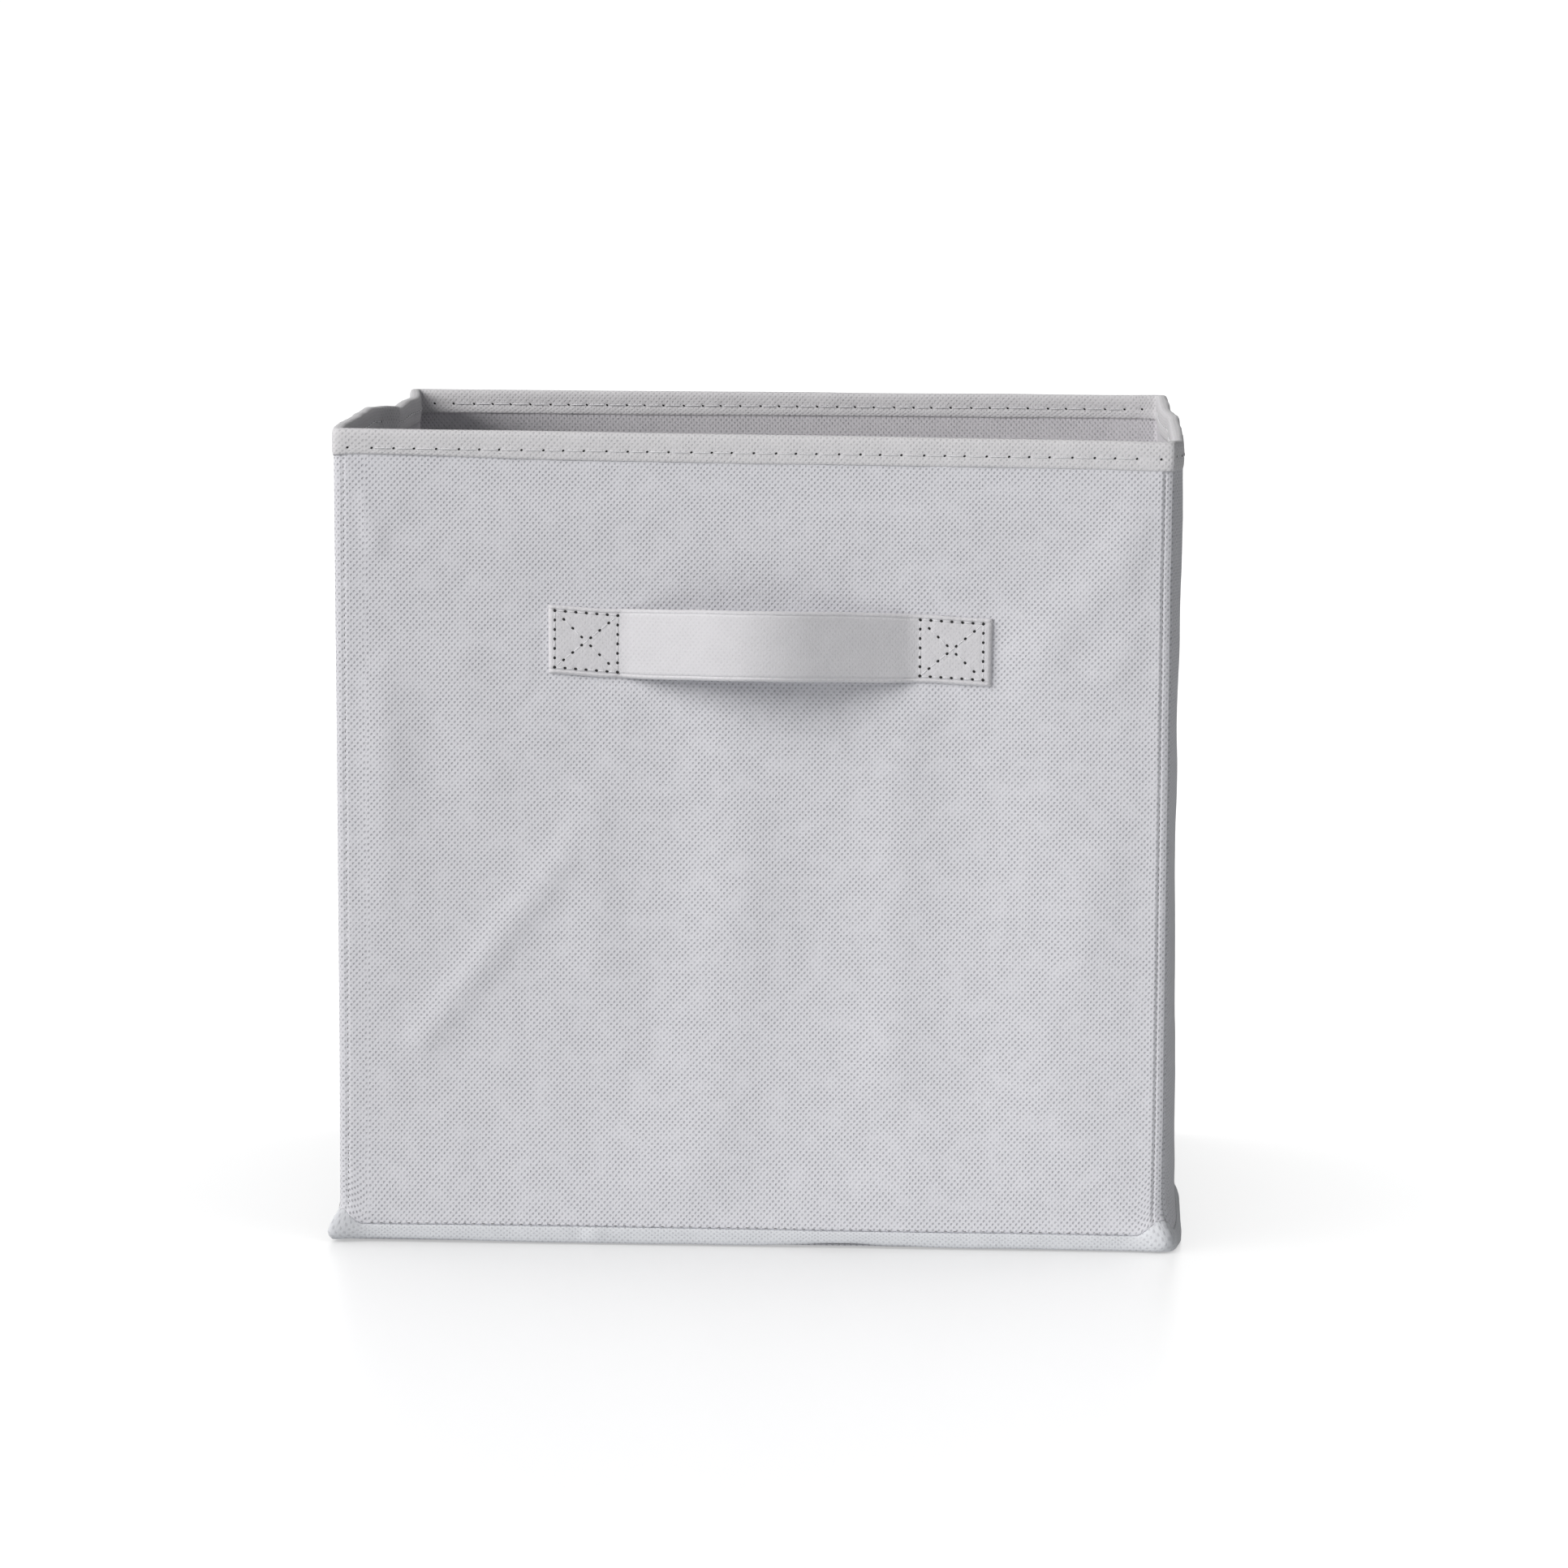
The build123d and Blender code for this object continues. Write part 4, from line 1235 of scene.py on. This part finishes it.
for tab, nm in ((0, "left"), (1, "right")):
    buf = Buf()
    for s in box_points(tab):
        w = np.full(len(s), T_ST - 0.10)
        pts = wall_points("front", s[:, 0], w, s[:, 1])
        run_stitches(buf, pts, np.repeat(wall_normal("front")[None], len(pts), 0), rad=0.15, hole_a=0.54, hole_b=0.44, tilt=0.0, bulge=0.12, lift=0.06, gap=0.6)
    ob = buf.build("handle_stitching_" + nm, [THREAD, DEEP_HOLE_SHADE])
    finish_piece(ob, "front", ["handle_threads_" + nm])


# ---------------------------------------------------------------- bottom cloth and the loose board in its cover
xs = u_lines(-137.6, 137.6, 4.0)
X, Y = np.meshgrid(xs, xs, indexing="ij")
edge = smooth(0.0, 10.0, 137.6 - np.maximum(np.abs(X), np.abs(Y)))
bump = 0.18 * (vnoise(X / 30.0, Y / 30.0, 101) + 0.5 * vnoise(X / 12.0, Y / 12.0, 102)) * edge
Zt = 0.62 + np.maximum(bump, -0.15)
buf = Buf()
buf.sheet(np.stack([X, Y, Zt], -1), np.stack([X, Y, Zt - 0.45], -1), np.stack([X, Y], -1), flip=False)
base = buf.build("base_cloth", [BASEM])
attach(base, "front")
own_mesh(base)
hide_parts("base_fabric")

lo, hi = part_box("base_insert_cover")
x0, x1, y0, y1, z0, z1 = lo.x * 1e3, hi.x * 1e3, lo.y * 1e3, hi.y * 1e3, lo.z * 1e3, hi.z * 1e3
cx, cy, hx, hy = (x0 + x1) / 2, (y0 + y1) / 2, (x1 - x0) / 2, (y1 - y0) / 2
g = np.linspace(-1, 1, 97)
GX, GY = np.meshgrid(g, g, indexing="ij")
# rounded corners: pull the grid's corners in
R = 5.0
PXs, PYs = GX * hx, GY * hy
ax, ay = np.abs(PXs) - (hx - R), np.abs(PYs) - (hy - R)
inside = (ax > 0) & (ay > 0)
mag = np.hypot(ax, ay)
far = np.maximum(ax, ay)
sc = np.where(inside & (mag > 1e-9), far / np.maximum(mag, 1e-9), 1.0)
PXs = np.where(inside, np.sign(PXs) * (hx - R + ax * sc), PXs)
PYs = np.where(inside, np.sign(PYs) * (hy - R + ay * sc), PYs)
d_edge = np.minimum(hx - np.abs(PXs), hy - np.abs(PYs))
d_edge = np.where(inside, R - mag * sc, d_edge)
flange = smooth(2.2, 4.2, d_edge)
mid = (z0 + z1) / 2
thick_h = 0.42 + (1.42 - 0.42) * flange + 0.16 * smooth(5.0, 60.0, d_edge)
seam = 0.16 * np.exp(-((d_edge - 3.0) / 0.6) ** 2)
pw = 0.07 * vnoise(PXs / 18.0, PYs / 18.0, 111) + 0.04 * vnoise(PXs / 7.0, PYs / 7.0, 112)
top_z = mid + thick_h - seam + pw * flange
bot_z = mid - thick_h + seam - 0.5 * pw * flange
wavy = 0.25 * vnoise((PXs + PYs) / 16.0, (PXs - PYs) / 16.0, 113) * (1 - flange)
buf = Buf()
buf.sheet(np.stack([cx + PXs, cy + PYs, top_z + wavy], -1), np.stack([cx + PXs, cy + PYs, bot_z + wavy], -1), np.stack([PXs, PYs], -1))
buf.sharp = [np.zeros_like(s) for s in buf.sharp]
cover = buf.build("base_insert_sewn_cover", [INSERTM])
finish_piece(cover, "insert", ["base_insert_cover"])
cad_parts["base_insert_board"].data.materials.clear()
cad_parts["base_insert_board"].data.materials.append(BOARD)

# the seam round the cover's edge
buf = Buf()
ins = 3.0
rx, ry, rr = hx - ins, hy - ins, 3.0
path = []
for sx, sy, a0 in ((1, -1, -90), (1, 1, 0), (-1, 1, 90), (-1, -1, 180)):
    for t in np.radians(np.linspace(a0, a0 + 90, 7)):
        path.append((sx * (rx - rr) + rr * math.cos(t), sy * (ry - rr) + rr * math.sin(t)))
path = np.array(path + [path[0]])
dd = np.r_[0, np.cumsum(np.linalg.norm(np.diff(path, axis=0), axis=1))]
ns = int(dd[-1] / 4.0)
s = np.linspace(0, dd[-1], ns + 1)
hp = np.stack([np.interp(s, dd, path[:, 0]) + cx, np.interp(s, dd, path[:, 1]) + cy], 1)
for sgn, zz in ((1, mid + 0.42 + 0.33), (-1, mid - 0.42 - 0.33)):
    pts = np.c_[hp, np.full(len(hp), zz)]
    run_stitches(buf, pts, np.repeat(np.array([[0, 0, float(sgn)]]), len(pts), 0), rad=0.16, hole_a=0.3, hole_b=0.22, bulge=0.14)
ob = buf.build("base_insert_stitching", [THREAD, HOLE_SHADE])
finish_piece(ob, "insert")


def tape_piece(node, body, name):
    lo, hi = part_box(node)
    a, b = np.array(lo) * 1e3, np.array(hi) * 1e3
    size = b - a
    thin = int(np.argmin(size))
    i, j = [k for k in range(3) if k != thin]
    gi, gj = np.linspace(a[i], b[i], max(2, int(size[i] / 2.5))), np.linspace(a[j], b[j], 9 if size[j] < 40 else max(2, int(size[j] / 2.5)))
    I, J = np.meshgrid(gi, gj, indexing="ij")
    off = 0.05 * vnoise(I / 9.0, J / 4.0, 121)
    o, n_ = np.zeros(I.shape + (3,)), np.zeros(I.shape + (3,))
    o[..., i], o[..., j], o[..., thin] = I, J, b[thin] + off
    n_[..., i], n_[..., j], n_[..., thin] = I, J, a[thin] + off
    e_i, e_j, e_t = np.eye(3)[i], np.eye(3)[j], np.eye(3)[thin]
    buf = Buf()
    buf.sheet(o, n_, np.stack([I, J], -1), flip=np.dot(np.cross(e_i, e_j), e_t) < 0)
    ob = buf.build(name, [TAPEM])
    finish_piece(ob, body, [node])


tape_piece("wall_hinge_tape", "back", "wall_hinge_tape_cloth")
tape_piece("base_insert_hinge_tape", "insert", "base_insert_hinge_tape_cloth")

# ---------------------------------------------------------------- floor, lights, background
me = bpy.data.meshes.new("floor")
s = 17.5
me.from_pydata([(-s, -s, -0.0004), (s, -s, -0.0004), (s, s, -0.0004), (-s, s, -0.0004)], [], [(0, 1, 2, 3)])
floor = bpy.data.objects.new("floor", me)
scene.collection.objects.link(floor)
fm = Nodes("floor_white")
fm.bsdf.inputs["Base Color"].default_value = (0.20, 0.20, 0.20, 1)
fm.bsdf.inputs["Roughness"].default_value = 0.33
fm.bsdf.inputs["Specular IOR Level"].default_value = 0.35
fm.bsdf.inputs["Emission Color"].default_value = (1, 1, 1, 1)
fm.bsdf.inputs["Emission Strength"].default_value = 0.36
me.materials.append(fm.mat)
floor.visible_diffuse = False
floor.visible_shadow = False

# a white backdrop all round, which the light doesn't come from
me = bpy.data.meshes.new("backdrop")
R_D, n_a, n_e = 18.0, 48, 24
vs, fs = [], []
for i in range(n_e + 1):
    el = math.radians(-12.0 + 102.0 * i / n_e)
    for j in range(n_a):
        az = 2 * math.pi * j / n_a
        vs.append((R_D * math.cos(el) * math.cos(az), R_D * math.cos(el) * math.sin(az), R_D * math.sin(el)))
for i in range(n_e):
    for j in range(n_a):
        k = (j + 1) % n_a
        fs.append((i * n_a + j, (i + 1) * n_a + j, (i + 1) * n_a + k, i * n_a + k))
me.from_pydata(vs, [], fs)
dome = bpy.data.objects.new("backdrop", me)
scene.collection.objects.link(dome)
dm = bpy.data.materials.new("backdrop_white")
dm.use_nodes = True
dm.node_tree.nodes.remove(dm.node_tree.nodes["Principled BSDF"])
em = dm.node_tree.nodes.new("ShaderNodeEmission")
em.inputs["Strength"].default_value = 1.05
dm.node_tree.links.new(em.outputs[0], dm.node_tree.nodes["Material Output"].inputs["Surface"])
me.materials.append(dm)
dome.visible_diffuse = False
dome.visible_shadow = False

world = bpy.data.worlds.new("studio")
scene.world = world
world.use_nodes = True
wn = world.node_tree
bg = wn.nodes["Background"]
tc = wn.nodes.new("ShaderNodeTexCoord")
sep = wn.nodes.new("ShaderNodeSeparateXYZ")
wn.links.new(tc.outputs["Generated"], sep.inputs[0])


def wmath(op, a, b=None, c=None):
    n = wn.nodes.new("ShaderNodeMath")
    n.operation = op
    for i, x in enumerate((a, b, c)):
        if x is None:
            continue
        if isinstance(x, (int, float)):
            n.inputs[i].default_value = x
        else:
            wn.links.new(x, n.inputs[i])
    return n.outputs[0]


# the room's own light: a little stronger from the left
amb = wmath("MULTIPLY_ADD", sep.outputs["X"], -0.11, 0.235)
amb = wmath("MULTIPLY_ADD", sep.outputs["Z"], -0.07, amb)
bg.inputs["Color"].default_value = (0.97, 0.985, 1.0, 1)
wn.links.new(amb, bg.inputs["Strength"])


def area_light(name, loc, target, size, power, colour=(1, 1, 1)):
    ld = bpy.data.lights.new(name, "AREA")
    ld.shape = "RECTANGLE"
    ld.size, ld.size_y = size
    ld.energy = power
    ld.color = colour
    ob = bpy.data.objects.new(name, ld)
    scene.collection.objects.link(ob)
    ob.location = loc
    ob.rotation_mode = "QUATERNION"
    ob.rotation_quaternion = (Vector(target) - Vector(loc)).to_track_quat("-Z", "Y")
    return ob


def only(light, things, state):
    """The light falls on these things only, or on all but these."""
    c = bpy.data.collections.new(light.name + "_on")
    for o in things:
        c.objects.link(o)
    light.light_linking.receiver_collection = c
    for i in range(len(c.collection_objects)):
        c.collection_objects[i].light_linking.link_state = state


key = area_light("key", (-4.8, -3.9, 3.7), (0, 0, 0.14), (4.4, 4.8), 494.0, (1.0, 0.985, 0.975))
far_wall = [o for o in made if o.name in ("back_lining_cloth", "corner_back_left_lining", "corner_back_right_lining_rear")]
only(key, [floor] + far_wall, "EXCLUDE")
# the inside of the far wall gets its light from lower down, over the left wall's rim
rake = area_light("rake", (-5.95, -3.0, 1.86), (0, 0.14, 0.25), (3.2, 3.4), 590.0, (1.0, 0.985, 0.975))
only(rake, far_wall, "INCLUDE")
# light thrown back by the table before the object
bounce = area_light("bounce", (0.45, -0.50, -0.02), (0.45, -0.50, 1.0), (1.2, 0.72), 1.15, (0.98, 0.99, 1.0))
only(bounce, [floor], "EXCLUDE")
fill = area_light("fill", (0.155, -0.42, 0.10), (0.155, -0.14, 0.12), (0.10, 0.30), 0.080, (1.0, 0.99, 0.99))
only(fill, [floor], "EXCLUDE")
# a wide ceiling light for the table alone
ceiling = area_light("ceiling", (0, 0, 4.0), (0, 0, 0), (64.0, 64.0), 3.14 * 64 * 64 * 3.1)
only(ceiling, [floor], "INCLUDE")
for o in (key, rake, bounce, fill, ceiling):
    o.visible_camera = False
    o.visible_glossy = o is key
